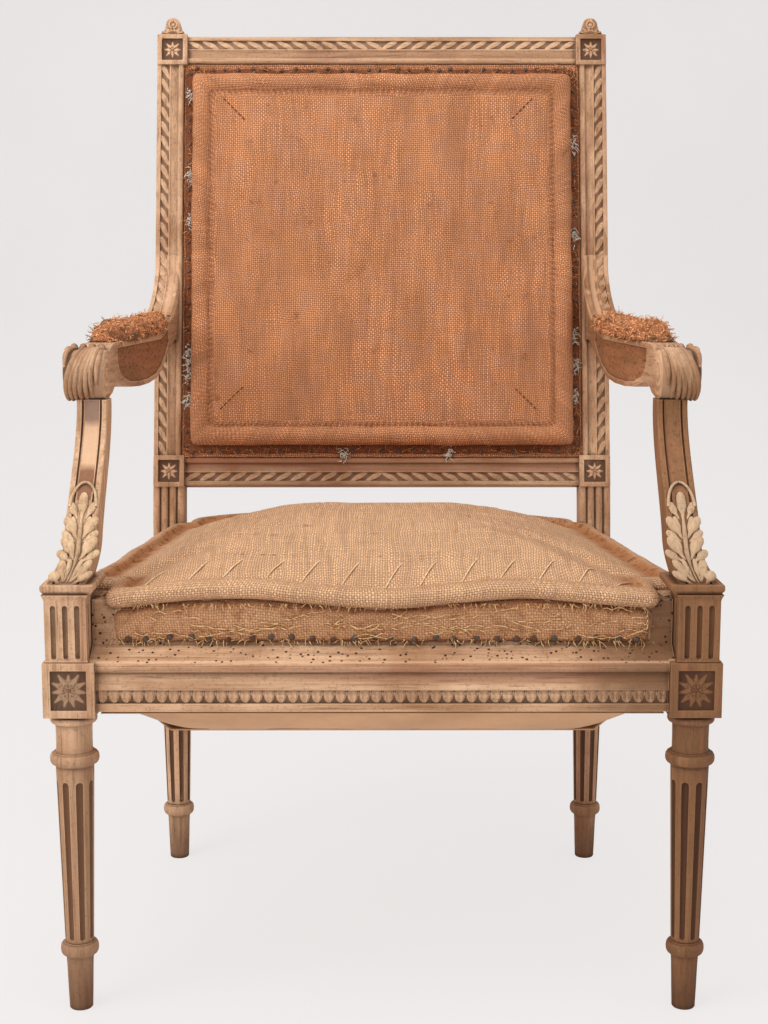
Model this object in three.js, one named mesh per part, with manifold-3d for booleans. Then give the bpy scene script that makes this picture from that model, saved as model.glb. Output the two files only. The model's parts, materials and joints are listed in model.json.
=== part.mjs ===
// A carved beech armchair, stripped to its burlap: turned and fluted legs, a moulded seat frame on
// springs, a reclining square back between two stiles, and scrolled arms on set-back supports.
// Millimetres, +Z up. x runs to the viewer's right and y from the front of the chair to its back.
// Sizes count y from the front faces of the front dies; the last lines centre the chair on its box.
import * as THREE from "three";
import { mergeVertices } from "three/addons/utils/BufferGeometryUtils.js";
import Module from "manifold-3d";

const wasm = await Module();
wasm.setup();

// Whole chair
const seatWidth = 640;
const backWidth = 548;
const dieSide = 49;
const dieBottom = 297;
const dieHeight = 53;
const backLegY = 449;
const clearance = 0.3;
const overrun = 60;

// Turned legs, all four alike
const footHeight = 54;
const footToeRadius = 11.3;
const footTopRadius = 13.3;
const ankleRingRadius = 18.4;
const ankleRingHeight = 15;
const shaftLowRadius = 13.8;
const shaftTopRadius = 18.3;
const kneeRingDrop = 51;
const kneeRingHeight = 13.5;
const kneeRingRadius = 23.5;
const neckRadius = 18;
const collarHeight = 10;
const collarRadius = 23;
const legSides = 16;
const fluteCount = 8;
const fluteDepth = 2.6;
const fluteEndRise = 4;
const fluteLowGap = 4;
const fluteTopGap = 17;

// Posts of the front legs above their dies
const postOuterInset = 3;
const postWidth = 39.4;
const postRise = 10;
const postFluteCount = 3;
const postFluteWidth = 5;
const postFluteDepth = 2.5;
const postPlinth = 3.5;
const postFluteTopGap = 9.5;
const rosetteMargin = 7.5;
const rosetteSink = 3;

// Seat rails
const railRise = 5;
const railHeight = 103;
const railFaceInset = 6;
const railSink = 10;
const railFilletHeight = 8;
const leafBandHeight = 12;
const ogeeHeight = 15;
const grooveHeight = 3;
const beadHeight = 8;
const slopeHeight = 14;
const tackFaceInset = 31;
const backRailThickness = 30;
const backRailInset = 4;
const tenonInset = 14;
const tenonThick = 12;
const tenonGap = 1;
const tenonShoulder = 5;
const tenonHeight = 39;
const backTenonThick = 12;
const cornerBlockLeg = 62;
const cornerBlockHeight = 40;
const cornerBlockDrop = 12;

// Stiles and back frame, measured up the slope of the back
const reclineDegrees = 12.3;
const backFootRise = 108;
const backFootSetback = 6;
const backHeight = 555;
const stileFace = 33;
const stileDepth = 31;
const ledgeWidth = 14;
const ledgeSink = 10;
const blockSide = 37;
const blockHeight = 38;
const blockProud = 2;
const finialWidth = 30;
const finialHeight = 23;
const finialDepth = 24;
const backRailFace = 34;
const backFaceSink = 2;
const stileReedWidth = 5;
const stileReedDepth = 2.5;
const stileReedCount = 3;

// Arms and their supports
const armWidth = 30;
const armFrontInset = 33;
const armRearInset = 15;
const armHousing = 6;
const armDepth = 51;
const armSweepRise = 90;
const armSweepLead = 69;
const armJointLength = 101;
const scrollY = 122;
const scrollRise = 198;
const scrollRadius = 25;
const scrollWidth = 38;
const scrollShift = 5;
const scrollFlatCut = 1.4;
const bedAboveScroll = 5;
const crestSetback = 38;
const crestHeight = 8;
const crestLength = 14;
const supportWidth = 30;
const supportTopDepth = 28;
const supportFootDepth = 50;
const supportFootWidth = 38;
const supportFootFront = 6;
const supportFlareRise = 26;
const supportInset = 20;
const supportTenonSide = 13;
const supportTenonHeight = 14;
const capHeight = 9;
const capWidth = 45;
const capLength = 72;
const dowelRadius = 5;
const dowelDrop = 18;
const dowelRise = 16;
const screwHeadRadius = 5.5;
const screwHeadHeight = 4;
const screwRadius = 3;
const screwLength = 33;
const screwBelowJoint = 48;

// Seat upholstery
const webbingWidth = 58;
const webbingThick = 1.5;
const webbingLap = 28;
const sag = 42;
const sagFlatMargin = 4;
const springsAcross = 3;
const springsDeep = 3;
const springPitchX = 145;
const springPitchY = 112;
const springRadius = 32;
const springWaist = 24;
const springWire = 3.6;
const springTurns = 5;
const twineSide = 2.5;
const clothThick = 1.5;
const seatCoverThick = 2.4;
const seatTackRise = 4;
const seatRollRise = 6;
const seatRollProud = 12;
const seatWallProud = 4;
const seatTopShare = 0.4;
const seatStitchRise = 7;
const seatCrownRise = 46;
const seatPostGap = 24;
const seatNotchGap = 18;
const seatRearInset = 7.5;
const seatBesideStileGap = 4;
const seatStileGap = 1;
const seatCornerRadius = 14;
const dustCoverThick = 1;
const dustCoverInset = 10;

// Back and arm upholstery
const backStrapWidth = 58;
const backStrapCount = 3;
const backStrapPitchX = 128;
const backStrapPitchW = 126;
const backClothGap = 3;
const backBlockGap = 1;
const backCoverThick = 2.4;
const backMargin = 9;
const backRollWidth = 22;
const backRollRise = 24;
const backFieldRise = 15;
const backCrownRise = 23;
const backCornerRadius = 12;
const padCrestGap = 6;
const padSweepReach = 66;
const padOverhang = 5;
const padHeight = 24;
const padCoverThick = 2.2;

// How finely the meshes are made
const helixSteps = 8;
const cushionStep = 85;
const backEdgeParts = 5;
const crownFullness = 2.2;
const weldDistance = 1e-4;
const arcSteps = 6;
const scrollSteps = 12;
const stileSteps = 5;
const stemSteps = 9;

// Heights that follow, from the floor up
const dieTop = dieBottom + dieHeight;
const kneeRingBottom = dieBottom - kneeRingDrop;
const railBottom = dieBottom + railRise;
const railTop = railBottom + railHeight;
const leafBandBottom = railBottom + railFilletHeight;
const leafBandTop = leafBandBottom + leafBandHeight;
const ogeeTop = leafBandTop + ogeeHeight;
const beadBottom = ogeeTop + grooveHeight;
const beadTop = beadBottom + beadHeight;
const slopeTop = beadTop + slopeHeight;
const tenonBottom = railBottom + tenonShoulder;
const tenonTop = tenonBottom + tenonHeight;
const postTop = railTop + postRise;
const postFluteBottom = dieTop + postPlinth;
const postFluteTop = postTop - postFluteTopGap;
const backFootZ = dieTop + backFootRise;
const scrollZ = postTop + scrollRise;
const scrollSeatDrop = scrollRadius - scrollFlatCut;
const armBedTop = scrollZ + scrollRadius + bedAboveScroll;
const armUnderside = armBedTop - armDepth;
const armJointZ = armBedTop + armSweepRise;
const armUnderEnd = armJointZ - armJointLength;
const seatTackZ = slopeTop + seatTackRise;
const seatRollZ = railTop + seatRollRise;
const seatStitchZ = seatRollZ + seatStitchRise;
const seatCrownZ = seatStitchZ + seatCrownRise;

// Places that follow, from the front and the middle out
const recline = THREE.MathUtils.degToRad(reclineDegrees);
const frontDieX = seatWidth / 2 - dieSide / 2;
const backDieX = backWidth / 2 - dieSide / 2;
const backDieFront = backLegY - dieSide / 2;
const backDieRear = backLegY + dieSide / 2;
const backFootY = backLegY + backFootSetback;
const tenonLength = dieSide - tenonInset - tenonThick - tenonGap;
const postInnerX = seatWidth / 2 - postOuterInset - postWidth;
const postCentreX = postInnerX + postWidth / 2;
const supportOuterX = seatWidth / 2 - supportInset;
const armFrontX = seatWidth / 2 - armFrontInset;
const armRearX = backWidth / 2 - armRearInset;
const armSweepY = backLegY - armSweepLead;
const crestY = scrollY + crestSetback;
const padFrontY = crestY + padCrestGap;
const padRearY = armSweepY + padSweepReach;
const seatCornerX = postInnerX - seatPostGap;
const seatNotchY = capLength + seatNotchGap;
const seatRearY = backDieRear - backRailInset - seatRearInset;
const seatRearX = backWidth / 2 - blockSide - seatRollProud - seatBesideStileGap;
const stileBottomFront = backFootY - (backFootRise * Math.tan(recline)) / 2;
const seatRearNotchY = stileBottomFront - seatRollProud - seatStileGap;

const wood = new THREE.MeshStandardMaterial({ color: 0xb5916b, roughness: 0.72, metalness: 0 });
const secondaryWood = new THREE.MeshStandardMaterial({ color: 0x9a7450, roughness: 0.8, metalness: 0 });
const burlap = new THREE.MeshStandardMaterial({ color: 0xc0895a, roughness: 0.95, metalness: 0 });
const stuffing = new THREE.MeshStandardMaterial({ color: 0x8a6a44, roughness: 1, metalness: 0 });
const webbing = new THREE.MeshStandardMaterial({ color: 0xa98a5c, roughness: 0.95, metalness: 0 });
const cotton = new THREE.MeshStandardMaterial({ color: 0xd8c7a6, roughness: 0.9, metalness: 0 });
const steel = new THREE.MeshStandardMaterial({ color: 0x6f6a63, roughness: 0.5, metalness: 0.9 });

const chair = new THREE.Group();

// A closed body as a manifold solid, and a solid as a drawable mesh
function solidOf(geometry) {
  const open = geometry.index ? geometry.toNonIndexed() : geometry;
  const bare = new THREE.BufferGeometry().setAttribute("position", open.getAttribute("position"));
  const merged = mergeVertices(bare, weldDistance);
  return new wasm.Manifold(
    new wasm.Mesh({
      numProp: 3,
      vertProperties: merged.attributes.position.array,
      triVerts: new Uint32Array(merged.index.array),
    }),
  );
}

function add(name, solid, material) {
  const mesh = solid.getMesh();
  const geometry = new THREE.BufferGeometry()
    .setAttribute("position", new THREE.BufferAttribute(mesh.vertProperties, 3))
    .setIndex(new THREE.BufferAttribute(mesh.triVerts, 1));
  geometry.computeVertexNormals();
  const piece = new THREE.Mesh(geometry, material);
  piece.name = name;
  chair.add(piece);
}

const join = (...solids) => solids.reduce((a, b) => a.add(b));
const cut = (solid, ...tools) => tools.reduce((a, b) => a.subtract(b), solid);
const sum = (list) => list.reduce((a, b) => a + b, 0);
const mix = (a, b, share) => a + (b - a) * share;
const sides = [
  ["left", -1],
  ["right", 1],
];

// A box between two corners
function box(low, high) {
  const size = low.map((v, i) => high[i] - v);
  const centre = low.map((v, i) => (v + high[i]) / 2);
  return solidOf(new THREE.BoxGeometry(...size).translate(...centre));
}

// A box whose x range is mirrored with the side of the chair
function sideBox(side, low, high) {
  const xs = [side * low[0], side * high[0]].sort((a, b) => a - b);
  return box([xs[0], low[1], low[2]], [xs[1], high[1], high[2]]);
}

// A closed body through rings of points, each ring star-shaped round its own middle
function loft(rings) {
  const count = rings[0].length;
  const points = rings.flat();
  const faces = [];
  for (let k = 0; k + 1 < rings.length; k++) {
    for (let i = 0; i < count; i++) {
      const a = k * count + i;
      const b = k * count + ((i + 1) % count);
      faces.push(a, b, b + count, a, b + count, a + count);
    }
  }
  for (const [ring, start, flip] of [
    [rings[0], 0, true],
    [rings.at(-1), (rings.length - 1) * count, false],
  ]) {
    const middle = points.length;
    points.push([0, 1, 2].map((axis) => sum(ring.map((p) => p[axis])) / count));
    for (let i = 0; i < count; i++) {
      const a = start + i;
      const b = start + ((i + 1) % count);
      faces.push(...(flip ? [middle, b, a] : [middle, a, b]));
    }
  }
  const geometry = new THREE.BufferGeometry()
    .setAttribute("position", new THREE.Float32BufferAttribute(points.flat(), 3))
    .setIndex(faces);
  const made = solidOf(geometry);
  if (made.volume() > 0) return made;
  const turned = faces.flatMap((v, i) => (i % 3 === 0 ? [v, faces[i + 2], faces[i + 1]] : []));
  return solidOf(geometry.setIndex(turned));
}

// A profile of [y, z] points drawn along x from one place to another
function prism(profile, fromX, toX) {
  const shape = new THREE.Shape(profile.map(([y, z]) => new THREE.Vector2(y, z)));
  const geometry = new THREE.ExtrudeGeometry(shape, { depth: toX - fromX, bevelEnabled: false });
  const axes = new THREE.Matrix4().makeBasis(
    new THREE.Vector3(0, 1, 0),
    new THREE.Vector3(0, 0, 1),
    new THREE.Vector3(1, 0, 0),
  );
  return solidOf(geometry.applyMatrix4(axes).translate(fromX, 0, 0));
}

// A [radius, z] profile turned round an upright axis
function turned(profile, x, y) {
  const points = profile.map(([radius, z]) => new THREE.Vector2(radius, z));
  const geometry = new THREE.LatheGeometry(points, legSides);
  return solidOf(geometry.rotateX(Math.PI / 2).translate(x, y, 0));
}

// A round peg between two heights
function peg(x, y, radius, fromZ, toZ) {
  return turned([[0, fromZ], [radius, fromZ], [radius, toZ], [0, toZ]], x, y);
}

// The frame of the back: x, depth behind the face of the back, and height up its slope
const backFrame = new THREE.Matrix4()
  .makeRotationX(-recline)
  .setPosition(0, backFootY, backFootZ);
const leaning = (solid) => solid.transform(backFrame.toArray());

// Widths of the frame at a depth: the line through the outer faces of the dies
const outerX = (y) => mix(seatWidth / 2, backWidth / 2, (y - dieSide) / (backLegY - dieSide * 1.5));

// Turned and fluted leg from the floor to the underside of its die
function turnedLeg(x, y) {
  const shaftBottom = footHeight + ankleRingHeight;
  const collarBottom = dieBottom - collarHeight;
  const ringShares = [[0, 0], [0.7, 0.05], [1, 0.35], [1, 0.65], [0.7, 0.95], [0, 1]];
  const neckShare = 0.6;
  const ring = (radius, neck, bottom, height) =>
    ringShares.map(([out, up]) => [mix(neck, radius, out), bottom + height * up]);
  const foot = turned([
    [0, 0],
    [footToeRadius, 0],
    ...ring(ankleRingRadius, footTopRadius, footHeight, ankleRingHeight),
    [shaftLowRadius - fluteDepth, shaftBottom + clearance],
    [0, shaftBottom + clearance],
  ], x, y);
  const head = turned([
    [0, kneeRingBottom - clearance],
    [shaftTopRadius - fluteDepth, kneeRingBottom - clearance],
    ...ring(kneeRingRadius, neckRadius, kneeRingBottom, kneeRingHeight),
    [neckRadius, collarBottom - collarHeight * neckShare],
    [collarRadius, collarBottom],
    [collarRadius, dieBottom],
    [0, dieBottom],
  ], x, y);
  return join(foot, flutedShaft(x, y, shaftBottom, kneeRingBottom), head);
}

function flutedShaft(x, y, bottom, top) {
  const halfStepShares = [-0.5, -0.34, -0.13, 0.13, 0.34];
  const depthShares = [0, 0, 1, 1, 0];
  const fluteBottom = bottom + fluteLowGap;
  const fluteTop = top - fluteTopGap;
  const levels = [
    [bottom, 0],
    [fluteBottom, 0],
    [fluteBottom + fluteEndRise, 1],
    [fluteTop - fluteEndRise, 1],
    [fluteTop, 0],
    [top, 0],
  ];
  return loft(levels.map(([z, cutShare]) => {
    const radius = mix(shaftLowRadius, shaftTopRadius, (z - bottom) / (top - bottom));
    const ring = [];
    for (let flute = 0; flute < fluteCount; flute++) {
      halfStepShares.forEach((share, i) => {
        const angle = ((flute + share) * 2 * Math.PI) / fluteCount;
        const r = radius - fluteDepth * depthShares[i] * cutShare;
        ring.push([x + r * Math.cos(angle), y + r * Math.sin(angle), z]);
      });
    }
    return ring;
  }));
}

const die = (x, y) =>
  box([x - dieSide / 2, y - dieSide / 2, dieBottom], [x + dieSide / 2, y + dieSide / 2, dieTop]);

// Mortises: a tenon's box grown by the clearance on every side
const grown = (low, high) => [low.map((v) => v - clearance), high.map((v) => v + clearance)];

function sideTenonAt(centreX, faceY, inward) {
  const outer = centreX + dieSide / 2 - tenonInset;
  const ys = [faceY, faceY + inward * tenonLength].sort((a, b) => a - b);
  return [
    [outer - tenonThick, ys[0], tenonBottom],
    [outer, ys[1], tenonTop],
  ];
}
const frontTenon = [
  [frontDieX - dieSide / 2, tenonInset, tenonBottom],
  [frontDieX - dieSide / 2 + tenonLength, tenonInset + tenonThick, tenonTop],
];
const backTenon = [
  [backDieX - dieSide / 2, backDieRear - backRailInset - backTenonThick, tenonBottom],
  [backDieX - dieSide / 2 + tenonLength, backDieRear - backRailInset, tenonTop],
];
const sideFrontTenon = sideTenonAt(frontDieX, dieSide, -1);
const sideRearTenon = sideTenonAt(backDieX, backDieFront, 1);

// Front legs
const supportY = supportFootFront + supportFootDepth / 2;

function frontLeg(side) {
  const x = side * frontDieX;
  const post = sideBox(side, [postInnerX, postOuterInset, dieTop - clearance],
    [postInnerX + postWidth, dieSide, postTop]);
  const recess = sideBox(side,
    [frontDieX - dieSide / 2 + rosetteMargin, -overrun, dieBottom + rosetteMargin],
    [frontDieX + dieSide / 2 - rosetteMargin, rosetteSink, dieTop - rosetteMargin]);
  const flutes = [];
  const edgeShare = 0.75;
  for (let i = 0; i < postFluteCount; i++) {
    const centre = postInnerX + (postWidth * (i + edgeShare)) / (postFluteCount - 1 + edgeShare * 2);
    flutes.push(sideBox(side,
      [centre - postFluteWidth / 2, -overrun, postFluteBottom],
      [centre + postFluteWidth / 2, postOuterInset + postFluteDepth, postFluteTop]));
  }
  const dowelHole = peg(side * postCentreX, supportY, dowelRadius + clearance,
    postTop - dowelDrop - clearance, postTop + overrun);
  return cut(join(turnedLeg(x, dieSide / 2), die(x, dieSide / 2), post),
    recess, ...flutes, dowelHole,
    sideBox(side, ...grown(...frontTenon)), sideBox(side, ...grown(...sideFrontTenon)));
}
sides.forEach(([hand, side]) => add(`front_leg_${hand}`, frontLeg(side), wood));

// Back legs, which run on as the stiles of the back
const stileOuter = backWidth / 2;
const railHalf = stileOuter - blockSide;

function stileCurve(side) {
  const slope = Math.tan(recline);
  const reach = backFootZ - dieTop;
  const rings = [];
  for (let i = 0; i <= stileSteps; i++) {
    const share = i / stileSteps;
    const front = backFootY - (slope * reach * (1 - share * share)) / 2;
    const z = mix(dieTop - clearance, backFootZ + blockProud, share);
    const xs = [side * (stileOuter - blockSide), side * stileOuter];
    rings.push([
      [xs[0], front, z],
      [xs[1], front, z],
      [xs[1], front + stileDepth, z],
      [xs[0], front + stileDepth, z],
    ]);
  }
  return loft(rings);
}

function finial(x) {
  const outline = [[-finialWidth / 2, 0]];
  const shoulderShare = 0.38;
  const roundShare = 0.9;
  for (let i = 0; i <= arcSteps; i++) {
    const angle = Math.PI * (1 - i / arcSteps);
    outline.push([
      Math.cos(angle) * (finialWidth / 2) * roundShare,
      finialHeight * (shoulderShare + (1 - shoulderShare) * Math.sin(angle)),
    ]);
  }
  outline.push([finialWidth / 2, 0]);
  const front = (stileDepth - finialDepth) / 2;
  const ring = (depth) => outline.map(([dx, dz]) => [x + dx, depth, backHeight - clearance + dz]);
  return loft([ring(front), ring(front + finialDepth)]);
}

const topBlockBottom = backHeight - blockHeight;
const railLow = [(blockHeight - backRailFace) / 2, (blockHeight + backRailFace) / 2];
const railHigh = railLow.map((w) => w + topBlockBottom);
const backTenonBox = (rail) => [
  [railHalf, backFaceSink + tenonThick / 2, rail[0] + tenonThick / 2],
  [railHalf + tenonLength, backFaceSink + tenonThick * 1.5, rail[1] - tenonThick / 2],
];
const blockRosetteMargin = rosetteMargin * 0.7;
const stileFrontAt = (z) => backFootY + (z - backFootZ) * Math.tan(recline);

function backLeg(side) {
  const x = side * backDieX;
  const face = sideBox(side, [stileOuter - stileFace, 0, blockHeight - blockProud],
    [stileOuter, stileDepth, topBlockBottom + blockProud]);
  const ledge = sideBox(side,
    [stileOuter - stileFace - ledgeWidth, ledgeSink, railLow[1] + ledgeWidth + clearance],
    [stileOuter - stileFace + blockProud, stileDepth, railHigh[0] - ledgeWidth - clearance]);
  const block = (bottom) => sideBox(side, [stileOuter - blockSide, -blockProud, bottom],
    [stileOuter, stileDepth, bottom + blockHeight]);
  const blockRecess = (bottom) => sideBox(side,
    [stileOuter - blockSide + blockRosetteMargin, -overrun, bottom + blockRosetteMargin],
    [stileOuter - blockRosetteMargin, rosetteSink - blockProud, bottom + blockHeight - blockRosetteMargin]);
  const upright = cut(join(face, ledge, block(0), block(topBlockBottom),
    finial(side * (stileOuter - blockSide / 2))),
    blockRecess(0), blockRecess(topBlockBottom));
  const mortises = [railLow, railHigh].map((rail) => leaning(sideBox(side, ...grown(...backTenonBox(rail)))));
  const reeds = [];
  for (let i = 0; i < stileReedCount; i++) {
    const centre = stileOuter - (blockSide * (i + 1)) / (stileReedCount + 1);
    reeds.push(sideBox(side,
      [centre - stileReedWidth / 2, backDieFront, railTop + stileReedWidth],
      [centre + stileReedWidth / 2, stileFrontAt(backFootZ) - stileReedWidth + stileReedDepth,
        backFootZ - stileReedWidth]));
  }
  return cut(join(turnedLeg(x, backLegY), die(x, backLegY), cut(stileCurve(side), ...reeds),
    leaning(upright)),
    ...mortises, armHousingCut(side), armScrew(side, clearance),
    sideBox(side, ...grown(...sideRearTenon)), sideBox(side, ...grown(...backTenon)));
}

// Seat rails: the outer moulding, the slope above it and the band that the cloth is tacked to
const railProfile = [
  [railFaceInset, railBottom],
  [railFaceInset, leafBandBottom],
  [railSink, leafBandBottom],
  [railFaceInset, leafBandTop],
  [railSink, mix(leafBandTop, ogeeTop, 0.45)],
  [mix(railFaceInset, railSink, 0.3), ogeeTop],
  [railSink, mix(ogeeTop, beadBottom, 0.5)],
  [railFaceInset, beadBottom],
  [mix(0, railFaceInset, 0.7), mix(beadBottom, beadTop, 0.5)],
  [railFaceInset, beadTop],
  [tackFaceInset - clearance, slopeTop],
  [tackFaceInset, railTop],
  [dieSide, railTop],
  [dieSide, railBottom],
];

const frontRailHalf = frontDieX - dieSide / 2 - clearance;
const postClear = sides.map(([, side]) => sideBox(side,
  [postInnerX - clearance, -overrun, dieTop - clearance],
  [postInnerX + postWidth + overrun, dieSide + clearance, railTop + overrun]));
add("front_seat_rail", join(
  cut(prism(railProfile, -frontRailHalf, frontRailHalf), ...postClear),
  ...sides.map(([, side]) => sideBox(side,
    [frontTenon[0][0] - clearance * 2, ...frontTenon[0].slice(1)], frontTenon[1]))), wood);

function sideRail(side) {
  const run = backDieFront - dieSide;
  const drift = outerX(dieSide) - outerX(backDieFront);
  const angle = Math.atan2(drift, run);
  const length = Math.hypot(run, drift);
  const bar = prism(railProfile, -overrun, length + overrun);
  // The bar's length turns to run back along the side, its moulded face outwards
  const place = new THREE.Matrix4()
    .makeTranslation(outerX(dieSide), dieSide, 0)
    .multiply(new THREE.Matrix4().makeRotationZ(Math.PI / 2 + angle));
  const placed = bar.transform(place.toArray());
  const slab = box([0, dieSide + clearance, railBottom - overrun],
    [seatWidth, backDieFront - clearance, railTop + overrun]);
  const trimmed = placed.intersect(slab);
  const tenons = [
    box([sideFrontTenon[0][0], sideFrontTenon[0][1], tenonBottom],
      [sideFrontTenon[1][0], sideFrontTenon[1][1] + clearance * 2, tenonTop]),
    box([sideRearTenon[0][0], sideRearTenon[0][1] - clearance * 2, tenonBottom],
      sideRearTenon[1]),
  ];
  const right = join(trimmed, ...tenons);
  return side > 0 ? right : right.mirror([1, 0, 0]);
}
sides.forEach(([hand, side]) => add(`${hand}_seat_rail`, sideRail(side), wood));

const backRailHalf = backDieX - dieSide / 2 - clearance;
const backRailFront = backDieRear - backRailInset - backRailThickness;
const backRailRear = backDieRear - backRailInset;
add("back_seat_rail", join(
  box([-backRailHalf, backRailFront, railBottom], [backRailHalf, backRailRear, railTop]),
  ...sides.map(([, side]) => sideBox(side,
    [backTenon[0][0] - clearance * 2, ...backTenon[0].slice(1)], backTenon[1]))), wood);

// Corner blocks glued into the angles of the seat frame, against the slanted side rails
const sideSlant = Math.atan2(outerX(dieSide) - outerX(backDieFront), backDieFront - dieSide);
function cornerBlock(side, front) {
  const y0 = front ? dieSide + clearance : backRailFront - clearance;
  const reach = front ? cornerBlockLeg : -cornerBlockLeg;
  const innerX = (y) => outerX(y) - (dieSide + clearance) / Math.cos(sideSlant);
  const top = railTop - cornerBlockDrop;
  const ring = (z) => [
    [side * innerX(y0), y0, z],
    [side * innerX(y0 + reach), y0 + reach, z],
    [side * (innerX(y0) - cornerBlockLeg), y0, z],
  ];
  return loft([ring(top - cornerBlockHeight), ring(top)]);
}
sides.forEach(([hand, side]) => {
  add(`front_corner_block_${hand}`, cornerBlock(side, true), secondaryWood);
  add(`back_corner_block_${hand}`, cornerBlock(side, false), secondaryWood);
});

// Rails of the back, with the ledge that the webbing and cloth are tacked to
function backRail(rail, ledgeSide) {
  const half = railHalf - clearance;
  const face = box([-half, backFaceSink, rail[0]], [half, stileDepth, rail[1]]);
  const ledgeFrom = ledgeSide > 0 ? rail[1] - clearance : rail[0] - ledgeWidth;
  const ledgeHalf = stileOuter - stileFace - clearance;
  const ledge = box([-ledgeHalf, ledgeSink, ledgeFrom],
    [ledgeHalf, stileDepth, ledgeFrom + ledgeWidth + clearance]);
  const tenons = sides.map(([, side]) => {
    const [low, high] = backTenonBox(rail);
    return sideBox(side, [low[0] - clearance * 2, low[1], low[2]], high);
  });
  return leaning(join(face, ledge.subtract(stileLedgeClear()), ...tenons));
}
// The rails' ledges stop short of the blocks
function stileLedgeClear() {
  const reach = stileOuter - blockSide - clearance;
  return join(...sides.map(([, side]) => sideBox(side, [reach, -overrun, -overrun],
    [reach + overrun, stileDepth + overrun, backHeight + overrun])));
}
add("back_bottom_rail", backRail(railLow, 1), wood);
add("back_top_rail", backRail(railHigh, -1), wood);

// Arm supports: a foot on the post, then a stem that sweeps back and up to the scroll
const supportBottom = postTop + clearance;
const supportTop = scrollZ - scrollSeatDrop - clearance;

function supportStem(side) {
  const stemBottom = supportBottom + capHeight - clearance;
  const rise = supportTop - stemBottom;
  const rings = [];
  for (let i = 0; i <= stemSteps; i++) {
    const share = i / stemSteps;
    const z = stemBottom + rise * share;
    const sweep = share * share * (3 - 2 * share);
    const front = mix(supportFootFront, scrollY - supportTopDepth / 2, sweep);
    const depth = mix(supportFootDepth, supportTopDepth, share);
    const flare = Math.max(0, 1 - (rise * share) / supportFlareRise);
    const width = mix(supportWidth, supportFootWidth, flare);
    const outer = side * mix(supportOuterX, postCentreX + supportFootWidth / 2, flare);
    const inner = outer - side * width;
    rings.push([
      [inner, front, z],
      [outer, front, z],
      [outer, front + depth, z],
      [inner, front + depth, z],
    ]);
  }
  return loft(rings);
}

const supportTopX = supportOuterX - supportWidth / 2;
const supportTenon = (grow) => [
  [supportTopX - supportTenonSide / 2 - grow, scrollY - supportTenonSide / 2 - grow,
    supportTop - clearance],
  [supportTopX + supportTenonSide / 2 + grow, scrollY + supportTenonSide / 2 + grow,
    supportTop + supportTenonHeight + grow],
];

function armSupport(side) {
  const cap = sideBox(side, [postCentreX - capWidth / 2, 0, supportBottom],
    [postCentreX + capWidth / 2, capLength, supportBottom + capHeight]);
  const dowelHole = peg(side * postCentreX, supportY, dowelRadius + clearance,
    supportBottom - overrun, supportBottom + dowelRise + clearance);
  return cut(join(cap, supportStem(side), sideBox(side, ...supportTenon(0))), dowelHole);
}
sides.forEach(([hand, side]) => {
  add(`${hand}_arm_support`, armSupport(side), wood);
  add(`${hand}_support_dowel`, peg(side * postCentreX, supportY, dowelRadius,
    postTop - dowelDrop, supportBottom + dowelRise), secondaryWood);
});

// Arms: side outline from the joint on the stile, along the bed of the pad, round the scroll
function armOutline() {
  const jointY = stileFrontAt(armJointZ);
  const underY = stileFrontAt(armUnderEnd);
  const line = [];
  for (let i = 0; i <= arcSteps; i++) {
    const angle = (i / arcSteps) * (Math.PI / 2 - recline);
    const sweepShare = (1 - Math.sin(angle) / Math.cos(recline));
    line.push([
      mix(armSweepY, jointY, Math.max(0, (Math.cos(angle) - Math.sin(recline)) / (1 - Math.sin(recline)))),
      mix(armBedTop, armJointZ, sweepShare),
    ]);
  }
  line.push([crestY, armBedTop], [crestY - crestLength * 0.3, armBedTop + crestHeight],
    [crestY - crestLength, armBedTop + crestHeight * 0.7]);
  const startAngle = THREE.MathUtils.degToRad(70);
  const endAngle = THREE.MathUtils.degToRad(290);
  for (let i = 0; i <= scrollSteps; i++) {
    const angle = mix(startAngle, endAngle, i / scrollSteps);
    const z = scrollZ + scrollRadius * Math.sin(angle);
    line.push([scrollY + scrollRadius * Math.cos(angle), Math.max(z, scrollZ - scrollSeatDrop)]);
  }
  line.push([scrollY + supportTopDepth / 2 + clearance, scrollZ - scrollSeatDrop],
    [scrollY + scrollRadius, mix(scrollZ - scrollRadius, armUnderside, 1.4)],
    [crestY + scrollRadius, armUnderside + crestHeight], [mix(crestY, armSweepY, 0.4), armUnderside],
    [mix(armSweepY, underY, -0.35), armUnderside], [mix(armSweepY, underY, 0.25), mix(armUnderside, armUnderEnd, 0.35)],
    [mix(armSweepY, underY, 0.68), mix(armUnderside, armUnderEnd, 0.72)], [underY, armUnderEnd],
    [underY + armHousing, armUnderEnd], [jointY + armHousing, armJointZ]);
  return line;
}

// Straight bars across the chair lean outwards towards the front
function splayed(solid, side) {
  const rate = (armRearX - armFrontX) / (stileFrontAt(armJointZ) - scrollY);
  const lean = new THREE.Matrix4().set(
    1, side * rate, 0, side * (armFrontX - rate * scrollY),
    0, 1, 0, 0,
    0, 0, 1, 0,
    0, 0, 0, 1,
  );
  return solid.transform(lean.toArray());
}

const armScrewZ = armJointZ - screwBelowJoint;
function armScrew(side, grow) {
  const headY = stileFrontAt(armScrewZ) + stileDepth * 0.8;
  const shape = turned([
    [0, 0],
    [screwRadius + grow, 0],
    [screwRadius + grow, screwLength - screwHeadHeight],
    [screwHeadRadius + grow, screwLength - screwHeadHeight],
    [screwHeadRadius + grow, screwLength + (grow ? overrun : 0)],
    [0, screwLength + (grow ? overrun : 0)],
  ], 0, 0);
  const place = new THREE.Matrix4()
    .makeTranslation(side * armRearX, headY - screwLength, armScrewZ)
    .multiply(new THREE.Matrix4().makeRotationX(-Math.PI / 2));
  return shape.transform(place.toArray());
}

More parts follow.
